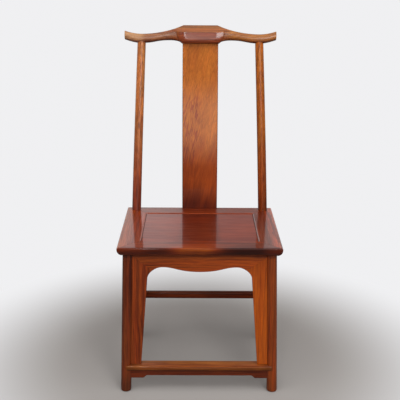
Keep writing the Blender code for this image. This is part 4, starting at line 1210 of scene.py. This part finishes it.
def floor():
    """A plain floor, grey near the chair and fading to a pale background."""
    shape = bmesh.new()
    bmesh.ops.create_grid(shape, x_segments=1, y_segments=1, size=FLOOR_HALF)
    obj = linked("floor", as_mesh(shape, "floor"))
    material, shader, s = new_material("floor")
    shader.inputs["Roughness"].default_value = FLOOR_ROUGHNESS
    shader.inputs["Specular IOR Level"].default_value = 0.0
    rays = s.add("ShaderNodeLightPath", {}).outputs
    s.feed(shader.inputs["Base Color"], s.mix(rays["Is Glossy Ray"], FLOOR_NEAR, FLOOR_IN_GLOSS))
    share = s.product(s.ease(s.length(s.place()), *FLOOR_FADE), rays["Is Camera Ray"])
    pale = s.add("ShaderNodeEmission", {"Color": (*FLOOR_FAR, 1.0), "Strength": 1.0}).outputs[0]
    mixed = s.add("ShaderNodeMixShader", {0: share, 1: shader.outputs[0], 2: pale}).outputs[0]
    s.feed(material.node_tree.nodes["Material Output"].inputs["Surface"], mixed)
    obj.data.materials.append(material)


# Room: its lights, and where each goes from dark to full, as parts of the direction towards it

ROOM_LIGHT = 0.10
WALL_LIGHT = 0.66
WALL_SHADE = 0.175
WALL_SHADE_X = (-0.07, 0.06)
WALL_RETURN = 0.33
WALL_RETURN_X = (0.07, 0.10)
WALL_Y = (-0.10, 0.35)
WALL_Z = (0.60, 0.46)
BACK_LIGHT = 2.0
BACK_Y = (0.60, 0.85)
BACK_Z = (0.45, 0.30)
CEILING_LIGHT = 2.00
CEILING_Y = (0.30, -0.40)
CEILING_Z = (0.42, 0.56)
CEILING_GLOSS = 0.12
OVERHEAD_LIGHT = 0.50
OVERHEAD_Y = (-0.15, 0.15)
OVERHEAD_Z = (0.72, 0.92)
BAND_LIGHT = 1.45
BAND_X = (0.18, 0.06)
BAND_Y = (-0.30, -0.60)
BAND_BOTTOM_Z = (-0.10, 0.05)
BAND_TOP_Z = (0.22, 0.12)


def room():
    """A pale wall, a lit ceiling and a bright band. In gloss the wall and the ceiling differ."""
    world = bpy.data.worlds.new("room")
    world.use_nodes = True
    s = Shading(world.node_tree)
    rays = s.add("ShaderNodeLightPath", {}).outputs
    glossy = rays["Is Glossy Ray"]
    x, y, z = s.parts(s.place("Generated"))
    shade = s.ease(x, *WALL_SHADE_X, WALL_LIGHT, WALL_SHADE)
    wall = s.math("ADD", shade, s.ease(x, *WALL_RETURN_X, 0.0, WALL_RETURN))
    wall = s.product(wall, s.ease(y, *WALL_Y), s.ease(z, *WALL_Z))
    behind = s.product(s.ease(y, *BACK_Y, 0.0, BACK_LIGHT), s.ease(s.math("ABSOLUTE", z), *BACK_Z))
    wall = s.pick(glossy, wall, behind)
    ceiling = s.product(s.ease(z, *CEILING_Z, 0.0, CEILING_LIGHT), s.ease(y, *CEILING_Y))
    overhead = s.product(s.ease(z, *OVERHEAD_Z, 0.0, OVERHEAD_LIGHT), s.ease(y, *OVERHEAD_Y))
    overhead = s.math("ADD", overhead, s.product(ceiling, CEILING_GLOSS))
    ceiling = s.pick(glossy, overhead, ceiling)
    band = s.product(s.ease(z, *BAND_BOTTOM_Z, 0.0, BAND_LIGHT), s.ease(z, *BAND_TOP_Z))
    band = s.product(band, s.ease(s.math("ABSOLUTE", x), *BAND_X), s.ease(y, *BAND_Y))
    light = s.math("ADD", s.math("ADD", wall, ceiling), s.math("ADD", band, ROOM_LIGHT))
    grey = s.add("ShaderNodeCombineColor", {0: light, 1: light, 2: light}).outputs[0]
    background = world.node_tree.nodes["Background"]
    s.feed(background.inputs["Color"], s.mix(rays["Is Camera Ray"], grey, FLOOR_FAR))
    bpy.context.scene.world = world


# Lamps

LAMP_DISTANCE = 3.0
LAMP_TARGET = Vector((0.0, 0.19, 1.09))
LAMP_RISE = radians(12)
BACK_LAMP_POWER = 4.3
BACK_LAMP_SPREAD = radians(4)
BACK_LAMP_RISE = radians(40)


def lamp(name, turn, size, power):
    """A soft rectangular lamp a little above the headrest, turned to the right seen from the front."""
    data = bpy.data.lights.new(name, "AREA")
    data.shape = "RECTANGLE"
    data.size, data.size_y = size
    data.energy = power
    level = cos(LAMP_RISE)
    away = Vector((sin(turn) * level, -cos(turn) * level, sin(LAMP_RISE)))
    obj = linked(name, data)
    obj.rotation_euler = away.to_track_quat("Z", "Y").to_euler()
    obj.location = LAMP_TARGET + away * LAMP_DISTANCE


def back_lamp():
    """A far lamp behind the chair, which lights the seat's panel alone, round the splat's shadow."""
    data = bpy.data.lights.new("back_lamp", "SUN")
    data.energy = BACK_LAMP_POWER
    data.angle = BACK_LAMP_SPREAD
    obj = linked("back_lamp", data)
    obj.rotation_euler.x = BACK_LAMP_RISE - radians(90)
    obj.visible_glossy = False
    lit = bpy.data.collections.new("back_lamp")
    lit.objects.link(bpy.data.objects["seat_panel_finish"])
    obj.light_linking.receiver_collection = lit


def lamps():
    lamp("right_window", radians(18), size=(0.80, 1.20), power=24)
    lamp("left_gap", radians(-7), size=(0.14, 1.10), power=8)
    back_lamp()


# Camera

CAMERA_YAW = radians(0.302)
CAMERA_PITCH = radians(16.939)
CAMERA_ROLL = radians(0.364)
CAMERA_X = -0.0121
CAMERA_TO_SEAT = 2.1734
CAMERA_HEIGHT = 1.308
IMAGE_WIDTH = 400
FOCAL_PIXELS = 774.5


def camera():
    """The photograph's viewpoint."""
    data = bpy.data.cameras.new("camera")
    data.lens = FOCAL_PIXELS / IMAGE_WIDTH * data.sensor_width
    obj = linked("camera", data)
    place = Matrix.Translation((CAMERA_X, SEAT_FRONT_Y - CAMERA_TO_SEAT, CAMERA_HEIGHT))
    for angle, axis in ((-CAMERA_YAW, "Z"), (radians(90) - CAMERA_PITCH, "X"), (CAMERA_ROLL, "Z")):
        place @= Matrix.Rotation(angle, 4, axis)
    obj.matrix_world = place
    bpy.context.scene.camera = obj


legs()
crest()
back_splat()
seat()
aprons()
stretchers()
footrest()
battens()
floor()
room()
lamps()
camera()
bpy.context.scene.view_settings.view_transform = "Standard"
